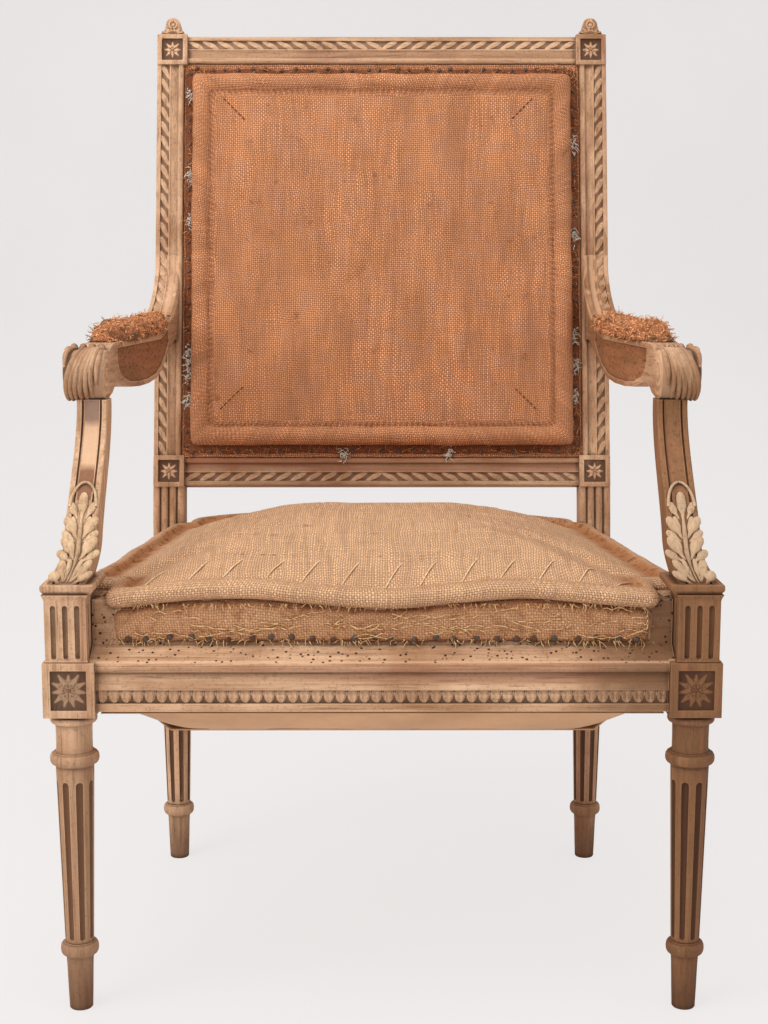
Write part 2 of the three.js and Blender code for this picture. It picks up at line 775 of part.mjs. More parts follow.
function armHousingCut(side) {
  const jointY = stileFrontAt(armJointZ);
  const underY = stileFrontAt(armUnderEnd);
  const profile = [
    [underY - overrun, armUnderEnd - clearance],
    [underY + armHousing + clearance, armUnderEnd - clearance],
    [jointY + armHousing + clearance, armJointZ + clearance],
    [jointY - overrun, armJointZ + clearance],
  ];
  return splayed(prism(profile, -armWidth / 2 - clearance, armWidth / 2 + clearance), side);
}

function arm(side) {
  const bar = prism(armOutline(), -armWidth / 2, armWidth / 2);
  const scrollRing = (x) => {
    const ring = [];
    for (let i = 0; i < legSides; i++) {
      const angle = ((i + 0.5) * 2 * Math.PI) / legSides;
      ring.push([x, scrollY + scrollRadius * Math.cos(angle),
        Math.max(scrollZ + scrollRadius * Math.sin(angle), scrollZ - scrollSeatDrop)]);
    }
    return ring;
  };
  const scroll = loft([scrollRing(-scrollWidth / 2), scrollRing(scrollWidth / 2)]);
  const mortise = sideBox(side, ...supportTenon(clearance));
  return cut(splayed(join(bar, scroll.translate([side * scrollShift, 0, 0])), side),
    mortise, armScrew(side, clearance));
}

sides.forEach(([hand, side]) => {
  add(`back_leg_${hand}`, backLeg(side), wood);
  add(`${hand}_arm`, arm(side), wood);
  add(`${hand}_arm_screw`, armScrew(side, 0), steel);
});

// How far the seat hangs below its frame at a place: a pan, flat under the springs and rising
// straight to the inner edges of the rails
const spread = (count, pitch, middle) =>
  [...Array(count).keys()].map((i) => middle + (i - (count - 1) / 2) * pitch);
const sagMiddleY = (dieSide + backRailFront) / 2;
const springXs = spread(springsAcross, springPitchX, 0);
const springYs = spread(springsDeep, springPitchY, sagMiddleY);
const strapReach = webbingWidth / 2 + sagFlatMargin;
const sagEdgeY = sagMiddleY - dieSide;
const sagSlopeY = sagEdgeY - (springYs.at(-1) - sagMiddleY) - strapReach;
const sagEdgeX = (y) => outerX(y) - dieSide;
const sagSlopeX = sagEdgeX(springYs.at(-1) + strapReach) - springXs.at(-1) - strapReach;
const sagAt = (x, y) => sag * Math.max(0, Math.min(1, (sagEdgeX(y) - Math.abs(x)) / sagSlopeX,
  (sagEdgeY - Math.abs(y - sagMiddleY)) / sagSlopeY));

// A strap under the seat: its middle line through the stations, its edges on the sagging pan
function sagStrap(stations, across, top) {
  return loft(stations.map((place) => {
    const corner = (offset, drop) => {
      const [x, y] = across ? [place(offset), across + offset] : place(offset);
      return [x, y, top - sagAt(x, y) - drop];
    };
    return [
      corner(-webbingWidth / 2, 0),
      corner(webbingWidth / 2, 0),
      corner(webbingWidth / 2, webbingThick),
      corner(-webbingWidth / 2, webbingThick),
    ];
  }));
}

const webTop = railBottom - clearance;
const crossWebTop = webTop - webbingThick - clearance;
const dustTop = crossWebTop - webbingThick - clearance;
const mirrored = (places) => [...places.map((v) => -v), ...places.toReversed()];
const longStations = mirrored([sagEdgeY + webbingLap, sagEdgeY, sagEdgeY - sagSlopeY]);
springXs.forEach((x, i) => add(`seat_web_long_${i + 1}`,
  sagStrap(longStations.map((v) => (offset) => [x + offset, sagMiddleY + v]), 0, webTop), webbing));
const acrossStations = (y) =>
  mirrored([sagEdgeX(y) + webbingLap, sagEdgeX(y), sagEdgeX(y) - sagSlopeX]);
springYs.forEach((y, i) => {
  const stations = acrossStations(y).map((_, k) => (offset) => acrossStations(y + offset)[k]);
  add(`seat_web_cross_${i + 1}`, sagStrap(stations, y, crossWebTop), webbing);
});

// Coil springs, each an hourglass of one wire that stands on the webbing
function spring(cx, cy) {
  const ceiling = railTop - clearance - springWire / 2;
  const wireSides = 4;
  const count = springTurns * helixSteps;
  const place = (i) => {
    const share = i / count;
    const angle = (2 * Math.PI * i) / helixSteps;
    const radius = mix(springWaist, springRadius, (2 * share - 1) ** 2);
    const x = cx + radius * Math.cos(angle);
    const y = cy + radius * Math.sin(angle);
    const floor = webTop - sagAt(x, y) + springWire + clearance;
    return new THREE.Vector3(x, y, mix(floor, ceiling, share));
  };
  const rings = [];
  for (let i = 0; i <= count; i++) {
    const middle = place(i);
    const along = place(Math.min(i + 1, count)).sub(place(Math.max(i - 1, 0))).normalize();
    const outward = new THREE.Vector3(middle.x - cx, middle.y - cy, 0).normalize();
    const upward = new THREE.Vector3().crossVectors(along, outward).normalize();
    const ring = [];
    for (let k = 0; k < wireSides; k++) {
      const angle = ((k + 0.5) * 2 * Math.PI) / wireSides;
      const out = outward.clone().multiplyScalar((Math.cos(angle) * springWire) / 2);
      const up = upward.clone().multiplyScalar((Math.sin(angle) * springWire) / 2);
      ring.push(middle.clone().add(out).add(up).toArray());
    }
    rings.push(ring);
  }
  return loft(rings);
}
springYs.forEach((y, row) =>
  springXs.forEach((x, column) => add(`seat_spring_${row * springsAcross + column + 1}`, spring(x, y), steel)));

// Twine tied over the springs from rail to rail
const twineBottom = railTop + clearance;
const innerFront = tackFaceInset + (dieSide - tackFaceInset) / 2;
const twineLines = [
  ...springXs.map((x) => box([x - twineSide / 2, innerFront, twineBottom],
    [x + twineSide / 2, backRailFront + backRailThickness / 3, twineBottom + twineSide])),
  ...springYs.map((y) => {
    const reach = outerX(y) - innerFront;
    return box([-reach, y - twineSide / 2, twineBottom], [reach, y + twineSide / 2, twineBottom + twineSide]);
  }),
];
add("spring_twine", join(...twineLines), webbing);

// Plan of the seat cushion, cut round the posts in front and the stiles behind
function seatPlan(offset) {
  const sideX = (y) => outerX(y) - tackFaceInset / Math.cos(sideSlant);
  const corners = [
    [seatCornerX, tackFaceInset],
    [seatCornerX, seatNotchY],
    [sideX(seatNotchY), seatNotchY],
    [sideX(seatRearNotchY), seatRearNotchY],
    [seatRearX, seatRearNotchY],
    [seatRearX, seatRearY],
  ];
  const right = roundedCorners(corners);
  const loop = divided([...right, ...right.map(([x, y]) => [-x, y]).reverse()], cushionStep);
  return loop.map((p, i) => {
    const before = loop[(i + loop.length - 1) % loop.length];
    const after = loop[(i + 1) % loop.length];
    const normal = new THREE.Vector2(after[1] - before[1], before[0] - after[0]).normalize();
    return [p[0] + normal.x * offset, p[1] + normal.y * offset];
  });
}

// Points along a closed loop at no more than a step apart
function divided(loop, step) {
  return loop.flatMap((p, i) => {
    const next = loop[(i + 1) % loop.length];
    const parts = Math.max(1, Math.round(Math.hypot(next[0] - p[0], next[1] - p[1]) / step));
    return [...Array(parts).keys()].map((k) => [mix(p[0], next[0], k / parts), mix(p[1], next[1], k / parts)]);
  });
}

// Rings of a crown over a stitched outline, rounder the nearer they are to the middle
function crownRings(outline, middle, heightAt) {
  const reach = [0, 1].map((axis) => Math.max(...outline.map((p) => Math.abs(p[axis] - middle[axis]))));
  const crownShares = [0.82, 0.58, 0.3];
  return crownShares.map((share) => outline.map((p) => {
    const offset = [p[0] - middle[0], p[1] - middle[1]];
    const angle = Math.atan2(offset[1] / reach[1], offset[0] / reach[0]);
    const round = [reach[0] * Math.cos(angle), reach[1] * Math.sin(angle)];
    const at = [0, 1].map((axis) => middle[axis] + share * mix(round[axis], offset[axis], share ** 2));
    return [...at, heightAt(share)];
  }));
}

// Each corner of an open line becomes a short chamfer, two points instead of one
function roundedCorners(corners) {
  const line = [];
  corners.forEach((corner, i) => {
    const here = new THREE.Vector2(...corner);
    const neighbours = [corners[i - 1] ?? [0, corner[1]], corners[i + 1] ?? [0, corner[1]]];
    neighbours.forEach((next) => {
      const toward = new THREE.Vector2(...next).sub(here);
      const step = Math.min(seatCornerRadius, toward.length() / 3);
      line.push(here.clone().add(toward.normalize().multiplyScalar(step)).toArray());
    });
  });
  return line;
}

// The seat as a plain block grown in by a wall: an upright skirt and a sloped top. The skirt's wall is
// double, so that it reaches the rails that it lies against.
function seatForm(wall, bottom) {
  const skirt = seatPlan(seatWallProud - wall * 2);
  const top = seatPlan(0).map(([x, y]) => [x * seatTopShare, mix(sagMiddleY, y, seatTopShare)]);
  return loft([
    skirt.map(([x, y]) => [x, y, bottom]),
    skirt.map(([x, y]) => [x, y, seatStitchZ - wall]),
    top.map(([x, y]) => [x, y, seatCrownZ - wall]),
  ]);
}
const clothBottom = twineBottom + twineSide + clearance;
const stuffingBottom = clothBottom + clothThick + clearance;
const above = (z) => box([-seatWidth, -seatWidth, z], [seatWidth, seatWidth, z + seatWidth]);
const between = (low, high) => box([-seatWidth, -seatWidth, low], [seatWidth, seatWidth, high]);

add("spring_burlap", seatForm(seatCoverThick + seatWallProud + clearance * 2, seatTackZ)
  .intersect(between(clothBottom, clothBottom + clothThick)), burlap);
add("seat_stuffing", seatForm(seatCoverThick + clearance, seatTackZ)
  .intersect(above(stuffingBottom)), stuffing);
// What the seat cover is drawn over: the rails inside their tacked faces, up to their tops
function railCore() {
  const sideInset = tackFaceInset / Math.cos(sideSlant);
  const ring = (z) => [
    [outerX(0) - sideInset, tackFaceInset],
    [outerX(seatWidth) - sideInset, seatWidth],
    [sideInset - outerX(seatWidth), seatWidth],
    [sideInset - outerX(0), tackFaceInset],
  ].map(([x, y]) => [x + Math.sign(x) * clearance, y - clearance, z]);
  return loft([ring(seatTackZ - overrun), ring(railTop + clearance)]);
}
add("seat_burlap_cover", cut(seatForm(0, seatTackZ), seatForm(seatCoverThick, seatTackZ - clearance),
  railCore()), burlap);

// Dust cover under the seat, cut round the dies
function dustCover() {
  const front = railFaceInset + dustCoverInset;
  const rear = backRailRear - dustCoverInset;
  const ys = [front, dieSide, dieSide + sagSlopeY, backRailFront - sagSlopeY, backRailFront, rear];
  const xsAt = (y) => mirrored([outerX(y) - railFaceInset - dustCoverInset, sagEdgeX(y),
    sagEdgeX(y) - sagSlopeX]);
  const columns = xsAt(front).length;
  const rows = ys.length;
  const points = [];
  for (const drop of [0, dustCoverThick]) {
    ys.forEach((y) => xsAt(y).forEach((x) => points.push([x, y, dustTop - sagAt(x, y) - drop])));
  }
  const at = (i, j, k) => k * columns * rows + j * columns + i;
  const faces = [];
  const quad = (a, b, c, d) => faces.push(a, b, c, a, c, d);
  // A quad is split along the line from its corner nearest a die, where the pan is mitred
  for (let j = 0; j + 1 < rows; j++) {
    for (let i = 0; i + 1 < columns; i++) {
      const upper = [at(i, j, 0), at(i + 1, j, 0), at(i + 1, j + 1, 0), at(i, j + 1, 0)];
      const lower = [at(i, j, 1), at(i, j + 1, 1), at(i + 1, j + 1, 1), at(i + 1, j, 1)];
      const mitred = i < columns / 2 - 1 === j < rows / 2 - 1;
      [upper, lower].forEach((corners) =>
        quad(...(mitred ? corners : [...corners.slice(1), corners[0]])));
    }
  }
  for (let i = 0; i + 1 < columns; i++) {
    quad(at(i, 0, 0), at(i, 0, 1), at(i + 1, 0, 1), at(i + 1, 0, 0));
    quad(at(i, rows - 1, 0), at(i + 1, rows - 1, 0), at(i + 1, rows - 1, 1), at(i, rows - 1, 1));
  }
  for (let j = 0; j + 1 < rows; j++) {
    quad(at(0, j, 0), at(0, j + 1, 0), at(0, j + 1, 1), at(0, j, 1));
    quad(at(columns - 1, j, 0), at(columns - 1, j, 1), at(columns - 1, j + 1, 1), at(columns - 1, j + 1, 0));
  }
  const sheet = solidOf(new THREE.BufferGeometry()
    .setAttribute("position", new THREE.Float32BufferAttribute(points.flat(), 3)).setIndex(faces));
  const posts = sides.flatMap(([, side]) => [
    sideBox(side, [frontDieX - dieSide / 2 - dustCoverInset / 2, -overrun, dieBottom - overrun],
      [seatWidth, dieSide + dustCoverInset / 2, dieTop]),
    sideBox(side, [backDieX - dieSide / 2 - dustCoverInset / 2, backDieFront - dustCoverInset / 2,
      dieBottom - overrun], [seatWidth, seatWidth, dieTop]),
  ]);
  return cut(sheet, ...posts);
}
add("dust_cover", dustCover(), cotton);

// Back: webbing straps on the ledge, cloth over them, stuffing and the burlap front
const backStraps = [...Array(backStrapCount).keys()].map((i) => i - (backStrapCount - 1) / 2);
const strapRear = ledgeSink - clearance;
const crossRear = strapRear - webbingThick - clearance;
const backClothRear = crossRear - webbingThick - clearance;
const panelHalfX = stileOuter - stileFace - backClothGap;
const panelLow = Math.max(blockHeight, railLow[1]) + backBlockGap;
const panelHigh = Math.min(topBlockBottom, railHigh[0]) - backBlockGap;
const panelMiddle = (panelLow + panelHigh) / 2;
backStraps.forEach((place, i) => {
  const x = place * backStrapPitchX;
  const w = panelMiddle + place * backStrapPitchW;
  add(`back_web_upright_${i + 1}`, leaning(box(
    [x - backStrapWidth / 2, strapRear - webbingThick, panelLow],
    [x + backStrapWidth / 2, strapRear, panelHigh])), webbing);
  add(`back_web_cross_${i + 1}`, leaning(box(
    [-panelHalfX, crossRear - webbingThick, w - backStrapWidth / 2],
    [panelHalfX, crossRear, w + backStrapWidth / 2])), webbing);
});
add("back_spring_burlap", leaning(box([-panelHalfX, backClothRear - clothThick, panelLow],
  [panelHalfX, backClothRear, panelHigh])), burlap);

// The stuffed back panel grown in by a wall: tacked margin, roll, stitched channel, field
function backForm(wall, rear) {
  const outline = (inset) => {
    const halfX = panelHalfX - inset;
    const low = panelLow + inset;
    const high = panelHigh - inset;
    const r = Math.min(backCornerRadius, halfX / 2);
    const corners = [
      [halfX - r, low], [halfX, low + r], [halfX, high - r], [halfX - r, high],
      [r - halfX, high], [-halfX, high - r], [-halfX, low + r], [r - halfX, low],
    ];
    return corners.flatMap((p, i) => {
      const next = corners[(i + 1) % corners.length];
      const parts = i % 2 ? backEdgeParts : 1;
      return [...Array(parts).keys()].map((k) => [mix(p[0], next[0], k / parts), mix(p[1], next[1], k / parts)]);
    });
  };
  const face = backClothRear - clothThick - clearance;
  const levels = [
    [wall, rear],
    [wall, face - clothThick + wall * 0.4],
    [backMargin - backRollWidth * 0.1 + wall, face - clothThick * 1.5 + wall * 0.4],
    [backMargin - backRollWidth * 0.15 + wall, face - backRollRise * 0.5],
    [backMargin + backRollWidth * 0.1 + wall, face - backRollRise * 0.88 + wall],
    [backMargin + backRollWidth * 0.45, face - backRollRise + wall],
    [backMargin + backRollWidth * 0.8, face - backRollRise * 0.85 + wall],
    [backMargin + backRollWidth, face - backFieldRise + wall],
  ];
  const rings = levels.map(([inset, depth]) => outline(inset).map(([x, w]) => [x, depth, w]));
  const field = outline(backMargin + backRollWidth);
  const crown = crownRings(field, [0, panelMiddle],
    (share) => face + wall - mix(backCrownRise, backFieldRise, share ** crownFullness));
  rings.push(...crown.map((ring) => ring.map(([x, w, depth]) => [x, depth, w])));
  return leaning(loft(rings));
}
const backFace = backClothRear - clothThick - clearance;
add("back_stuffing", backForm(backCoverThick + clearance, backFace), stuffing);
add("back_burlap_cover", cut(backForm(0, backFace), backForm(backCoverThick, backFace + clearance)), burlap);

// Arm pads: stuffing on the bed of the arm under torn burlap
function padForm(wall, bottom) {
  const riseShares = [0.5, 0.88, 1, 0.98, 1, 1.04, 1.1];
  const widthShares = [0.2, 0.8, 1, 1, 0.9, 0.6, 0.3];
  const rings = [];
  riseShares.forEach((riseShare, i) => {
    const y = mix(padFrontY + wall, padRearY - wall, i / (riseShares.length - 1));
    const half = armWidth / 2 + padOverhang * widthShares[i] - wall;
    const top = armBedTop + clearance + padHeight * riseShare - wall;
    rings.push([
      [-half * 0.8, y, bottom],
      [-half, y, mix(bottom, top, 0.45)],
      [-half * 0.75, y, mix(bottom, top, 0.85)],
      [0, y, top],
      [half * 0.75, y, mix(bottom, top, 0.85)],
      [half, y, mix(bottom, top, 0.45)],
      [half * 0.8, y, bottom],
    ]);
  });
  return loft(rings);
}
sides.forEach(([hand, side]) => {
  const bed = armBedTop + clearance;
  const bar = prism(armOutline(), -armWidth / 2 - clearance, armWidth / 2 + clearance);
  const clear = splayed(bar.translate([0, -clearance, clearance]), side);
  add(`${hand}_arm_stuffing`, cut(splayed(padForm(padCoverThick + clearance, bed), side), clear), stuffing);
  add(`${hand}_arm_burlap`, cut(splayed(
    cut(padForm(0, bed), padForm(padCoverThick, bed - clearance)), side), clear), burlap);
});

// The chair's own frame: on the floor, centred on its box
const box3 = new THREE.Box3().setFromObject(chair);
chair.position.set(0, -(box3.min.y + box3.max.y) / 2, -box3.min.z);

export default chair;
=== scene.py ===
import json
import math
import random

import bmesh
import bpy
import numpy as np
from bpy.props import FloatProperty, FloatVectorProperty, IntProperty, PointerProperty
from mathutils import Matrix, Vector, noise
from mathutils.bvhtree import BVHTree

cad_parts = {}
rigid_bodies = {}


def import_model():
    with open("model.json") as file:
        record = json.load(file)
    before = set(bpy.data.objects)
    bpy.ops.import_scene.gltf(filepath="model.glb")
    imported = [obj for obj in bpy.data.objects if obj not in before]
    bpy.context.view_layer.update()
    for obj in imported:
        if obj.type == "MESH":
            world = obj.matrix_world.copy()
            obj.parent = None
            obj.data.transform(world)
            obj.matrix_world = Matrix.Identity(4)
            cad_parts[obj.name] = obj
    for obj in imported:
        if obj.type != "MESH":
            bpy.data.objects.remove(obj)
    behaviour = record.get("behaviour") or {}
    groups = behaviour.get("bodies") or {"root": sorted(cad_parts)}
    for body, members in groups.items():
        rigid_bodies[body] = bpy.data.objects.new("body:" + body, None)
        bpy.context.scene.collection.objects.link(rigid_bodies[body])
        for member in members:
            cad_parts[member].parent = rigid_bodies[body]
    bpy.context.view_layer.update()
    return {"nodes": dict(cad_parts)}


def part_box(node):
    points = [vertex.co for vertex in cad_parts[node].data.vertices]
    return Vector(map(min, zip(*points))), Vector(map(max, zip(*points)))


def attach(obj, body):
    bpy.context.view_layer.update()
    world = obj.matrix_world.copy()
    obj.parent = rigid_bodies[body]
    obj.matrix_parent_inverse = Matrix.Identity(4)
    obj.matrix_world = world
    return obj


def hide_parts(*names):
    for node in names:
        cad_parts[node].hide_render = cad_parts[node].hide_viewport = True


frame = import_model()

bl_info = {
    "name": "Stripped Armchair",
    "version": (1, 0, 0),
    "blender": (4, 5, 0),
    "location": "View3D > Sidebar > Armchair",
    "description": "Carved beech, burlap and tacks for an armchair stripped of its cover",
    "category": "Object",
}

MM = 0.001
LEG_LOW, LEG_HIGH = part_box("front_leg_right")
_, BACK_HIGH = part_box("back_leg_right")
CAP_LOW, CAP_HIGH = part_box("right_arm_support")
FRONT = LEG_LOW.y
DIE_SIDE = LEG_HIGH.x - LEG_LOW.x
DIE_BOTTOM = 297 * MM
DIE_TOP = 350 * MM
RAIL_TOP = 405 * MM
TACK_FACE = 31 * MM
POST_LOW = Vector((277.6 * MM, FRONT + 3 * MM, DIE_TOP))
POST_HIGH = Vector((317 * MM, FRONT + DIE_SIDE, LEG_HIGH.z))
BACK_LEG_Y = FRONT + 449 * MM
STILE_OUTER = BACK_HIGH.x
BLOCK_SIDE = 37 * MM
BLOCK_HEIGHT = 38 * MM
STILE_FACE = 33 * MM
STILE_DEPTH = 31 * MM
BACK_LENGTH = 555 * MM
RECLINE = math.radians(12.3)
BACK_FOOT = Vector((0, FRONT + 455 * MM, 458 * MM))
BACK = Matrix.Translation(BACK_FOOT) @ Matrix.Rotation(-RECLINE, 4, "X")
SCROLL_RADIUS = 25 * MM
SCROLL_WIDTH = 38 * MM
SCROLL_CENTRE = Vector((0, FRONT + 122 * MM, 613 * MM))
SCROLL_SHIFT = 5 * MM
ARM_WIDTH = 30 * MM
ARM_FRONT_X = 287 * MM
ARM_REAR_X = 259 * MM
ARM_JOINT_Z = 733 * MM
ARM_UNDER_END = 632 * MM
ARM_BED = 643 * MM
ARM_SWEEP_Y = FRONT + 380 * MM
HAIR = 0.3 * MM
WELD = 0.01 * MM
LEDGE = 14 * MM
TWIST_SHARE = 0.31
TWIST_FLOOR = 2.6 * MM
MIRROR = Matrix.Scale(-1, 4, (1, 0, 0))
OUT_X, OUT_Y, UP = Vector((1, 0, 0)), Vector((0, -1, 0)), Vector((0, 0, 1))
SEED = 7


def srgb(*seen):
    """A colour as seen, 0 to 255, as the linear values that materials use."""
    return tuple(v / 255 / 12.92 if v < 11 else ((v / 255 + 0.055) / 1.055) ** 2.4 for v in seen)


def times(tint, factor):
    """A colour made lighter or darker."""
    return tuple(min(1, v * factor) for v in tint)


def size(name, description, millimetres):
    return FloatProperty(
        name=name, description=description, default=millimetres * MM, unit="LENGTH", precision=5)


def colour(name, description, *seen):
    return FloatVectorProperty(
        name=name, description=description, default=srgb(*seen), subtype="COLOR", size=3, min=0, max=1)


class LegSizes(bpy.types.PropertyGroup):
    """Turning and fluting of the four legs"""
    toe: size("Toe Radius", "Radius of the foot on the floor", 11.3)
    ankle: size("Ankle Ring Radius", "Radius of the ring above the foot", 18.4)
    shaft_low: size("Shaft Radius Below", "Radius of the tapered shaft above the ankle ring", 13.8)
    shaft_top: size("Shaft Radius Above", "Radius of the tapered shaft under the knee ring", 18.3)
    knee: size("Knee Ring Radius", "Radius of the ring at the top of the shaft", 23.5)
    neck: size("Neck Radius", "Radius of the neck under the collar", 18)
    collar: size("Collar Radius", "Radius of the collar under the die", 23)
    flute: size("Flute Radius", "Radius of the gouge that cuts the flutes of a leg", 3.9)
    post_flute: size("Post Flute Radius", "Radius of the gouge that cuts the flutes of a post", 2.7)
    flutes: IntProperty(name="Flutes", description="Flutes round a leg", default=8, min=4, max=24)
    steps: IntProperty(
        name="Turning Steps", description="Facets round a turned leg", default=48, min=16, max=96)


class CarvingSizes(bpy.types.PropertyGroup):
    """Rosettes, leaves and bands of carving"""
    sink: size("Rosette Sink", "Depth of the square recess round a rosette", 3)
    margin: size("Rosette Margin", "Flat border round the rosette of a front die", 7.5)
    twist_pitch: size("Twist Pitch", "Distance between turns of the ribbon twist", 17.3)
    twist_width: size("Twist Width", "Width of the ribbon twist", 8)
    tongue_pitch: size("Tongue Pitch", "Distance between the leaves of the seat rail's band", 11.2)
    edge: size("Worn Edge", "Width of the rounding on worn edges", 1.1)
    petals: IntProperty(
        name="Petals", description="Petals of a rosette on the back", default=8, min=5, max=16)
    rays: IntProperty(name="Rays", description="Petals of a rosette on a die", default=11, min=8, max=32)


class SeatSizes(bpy.types.PropertyGroup):
    """Burlap seat"""
    crown: size("Crown", "Height of the seat's dome above its stitched channel", 46)
    roll: size("Roll Radius", "Radius of the stitched edge roll", 10.5)
    step: size("Cloth Step", "Distance between points along the cloth", 4)
    stitch_pitch: size("Stitch Pitch", "Distance between the long stitches behind the roll", 37)
    tack_pitch: size("Tack Pitch", "Distance between tacks along a rail", 19)
    thread: size("Thread Pitch", "Distance between threads of the burlap", 2.4)


class BackSizes(bpy.types.PropertyGroup):
    """Burlap back"""
    margin: size("Tack Margin", "Flat tacked margin outside the roll", 9)
    roll: size("Roll Width", "Width of the stitched roll", 22)
    rise: size("Roll Rise", "How far the roll stands in front of the tack margin", 22)
    crown: size("Crown", "How far the middle stands in front of the stitched channel", 8)
    strap: size("Strap Width", "Width of the webbing behind the back", 58)


class Finishes(bpy.types.PropertyGroup):
    """Colours of wood and cloth"""
    beech: colour("Beech", "Bleached beech", 220, 178, 142)
    aged: colour("Aged Beech", "Beech that kept some of its old stain", 150, 104, 68)
    cream: colour("Cream", "Leaves with a trace of old paint", 216, 182, 144)
    # Grime serves for dirt in pores, tack holes and near the floor, and also as the colour of painted shade in
    # recesses.
    grime: colour("Grime", "Dirt in recesses", 66, 37, 21)
    stained: colour("Stained Bed", "Red-brown wood under the old covers", 176, 116, 76)
    seat: colour("Seat Burlap", "Threads of the seat", 255, 204, 158)
    back: colour("Back Burlap", "Threads of the back", 246, 170, 120)
    pad: colour("Pad Burlap", "Torn cloth of the arm pads", 236, 156, 104)
    # The gap colour also serves for painted shade beside and between the threads and in hollows, and for dirt
    # spots and torn places.
    gap: colour("Cloth Gaps", "What shows between the threads", 122, 64, 34)
    webbing: colour("Webbing", "Jute webbing", 190, 146, 104)
    dust: colour("Dust Cloth", "Cloth under the seat", 222, 172, 128)
    steel: colour("Steel", "Old tacks, springs and screws", 92, 84, 78)
    fluff: colour("Wadding", "White cotton wadding", 228, 220, 208)


class StageSizes(bpy.types.PropertyGroup):
    """Camera and light"""
    height: size("Camera Height", "Height of the camera above the floor", 716)
    distance: size("Camera Distance", "Distance of the camera from the front of the chair", 1525.3)
    lens: FloatProperty(name="Lens", description="Focal length for a 36 mm long side", default=58.54)
    tilt: FloatProperty(
        name="Tilt", description="Camera tilt below level", default=math.radians(8.29), unit="ROTATION")
    sky: FloatProperty(name="Sky", description="Strength of the even light", default=0.62)
    key: FloatProperty(name="Key", description="Power of the large soft lamp on the left", default=46)


GROUPS = {
    "chair_legs": LegSizes,
    "chair_carving": CarvingSizes,
    "chair_seat": SeatSizes,
    "chair_back": BackSizes,
    "chair_finish": Finishes,
    "chair_stage": StageSizes,
}


# Working with operators
def rest():
    """Back to object mode with nothing selected."""
    if bpy.context.mode != "OBJECT":
        bpy.ops.object.mode_set(mode="OBJECT")
    bpy.ops.object.select_all(action="DESELECT")


def only(piece):
    """Makes one piece the selected and active one."""
    rest()
    piece.select_set(True)
    bpy.context.view_layer.objects.active = piece
    return piece


def named(name):
    """Names the primitive just added and puts its place into its mesh."""
    piece = bpy.context.active_object
    piece.name = name
    piece.data.name = name
    bpy.ops.object.transform_apply(location=True, rotation=True, scale=True)
    return piece


def edit(piece):
    only(piece)
    bpy.ops.object.mode_set(mode="EDIT")
    bpy.ops.mesh.select_all(action="DESELECT")


def pick(test, kind="FACE"):
    """Selects the faces, edges or vertices of the piece in edit mode that pass a test."""
    bpy.ops.mesh.select_mode(type=kind)
    bpy.ops.mesh.select_all(action="DESELECT")
    mesh = bpy.context.edit_object.data
    model = bmesh.from_edit_mesh(mesh)
    for part in {"FACE": model.faces, "EDGE": model.edges, "VERT": model.verts}[kind]:
        part.select_set(bool(test(part)))
    model.select_flush_mode()
    bmesh.update_edit_mesh(mesh)


def block(name, low, high):
    """A box between two corners."""
    rest()
    low, high = Vector(low), Vector(high)
    bpy.ops.mesh.primitive_cube_add(size=1, location=(low + high) / 2, scale=high - low)
    return named(name)


def drawn(name, points, filled=True):
    """A line drawn from one vertex through points, filled where it is an outline. Stays in edit mode."""
    rest()
    points = [Vector(p) for p in points]
    bpy.ops.mesh.primitive_plane_add(size=MM, location=points[0])
    piece = named(name)
    bpy.ops.object.mode_set(mode="EDIT")
    bpy.ops.mesh.select_mode(type="VERT")
    bpy.ops.mesh.merge(type="CENTER")
    for before, after in zip(points, points[1:]):
        bpy.ops.mesh.extrude_region_move(TRANSFORM_OT_translate={"value": after - before})
    bpy.ops.mesh.select_all(action="SELECT")
    if filled:
        bpy.ops.mesh.edge_face_add()
    return piece


def tidied(piece, weld=True):
    """Merges doubles, turns faces outwards and leaves edit mode."""
    edit(piece)
    bpy.ops.mesh.select_all(action="SELECT")
    if weld:
        bpy.ops.mesh.remove_doubles(threshold=WELD)
    bpy.ops.mesh.normals_make_consistent(inside=False)
    rest()
    return piece


def bar(name, outline, run):
    """An outline extruded along a straight run."""
    piece = drawn(name, outline)
    bpy.ops.mesh.extrude_region_move(TRANSFORM_OT_translate={"value": run})
    return tidied(piece)


def lofted(name, rings):
    """An outline extruded step by step, each step set to the next ring of points."""
    piece = drawn(name, rings[0])
    for before, after in zip(rings, rings[1:]):
        bpy.ops.mesh.extrude_region_move()
        mesh = bpy.context.edit_object.data
        model = bmesh.from_edit_mesh(mesh)
        start = np.array(before, float)
        for vertex in model.verts:
            if vertex.select:
                nearest = int(((start - np.array(vertex.co)) ** 2).sum(1).argmin())
                vertex.co = after[nearest]
        bmesh.update_edit_mesh(mesh)
    return tidied(piece)


def turned(name, profile, x, y, steps):
    """A profile of radius and height spun round an upright axis."""
    piece = drawn(name, [(x + radius, y, height) for radius, height in profile], filled=False)
    bpy.ops.mesh.spin(steps=steps, angle=math.tau, center=(x, y, 0), axis=(0, 0, 1))
    return tidied(piece)


def applied(piece, kind, **settings):
    """Adds a modifier by operator, sets it and applies it."""
    only(piece)
    bpy.ops.object.modifier_add(type=kind)
    modifier = piece.modifiers[-1]
    for key, value in settings.items():
        setattr(modifier, key, value)
    bpy.ops.object.modifier_apply(modifier=modifier.name)
    return piece


def rounded(piece, width, segments=2):
    """Softens the sharp edges of a piece."""
    return applied(piece, "BEVEL", width=width, segments=segments, limit_method="ANGLE",
                   angle_limit=math.radians(35), use_clamp_overlap=True)


def gouged(piece, cutter):
    """Cuts a shape out of a piece."""
    applied(piece, "BOOLEAN", object=cutter, operation="DIFFERENCE", solver="EXACT")
    bpy.data.objects.remove(cutter)
    return piece


def joined(name, *pieces):
    only(pieces[0])
    for piece in pieces:
        piece.select_set(True)
    if len(pieces) > 1:
        bpy.ops.object.join()
    pieces[0].name = name
    pieces[0].data.name = name
    return pieces[0]


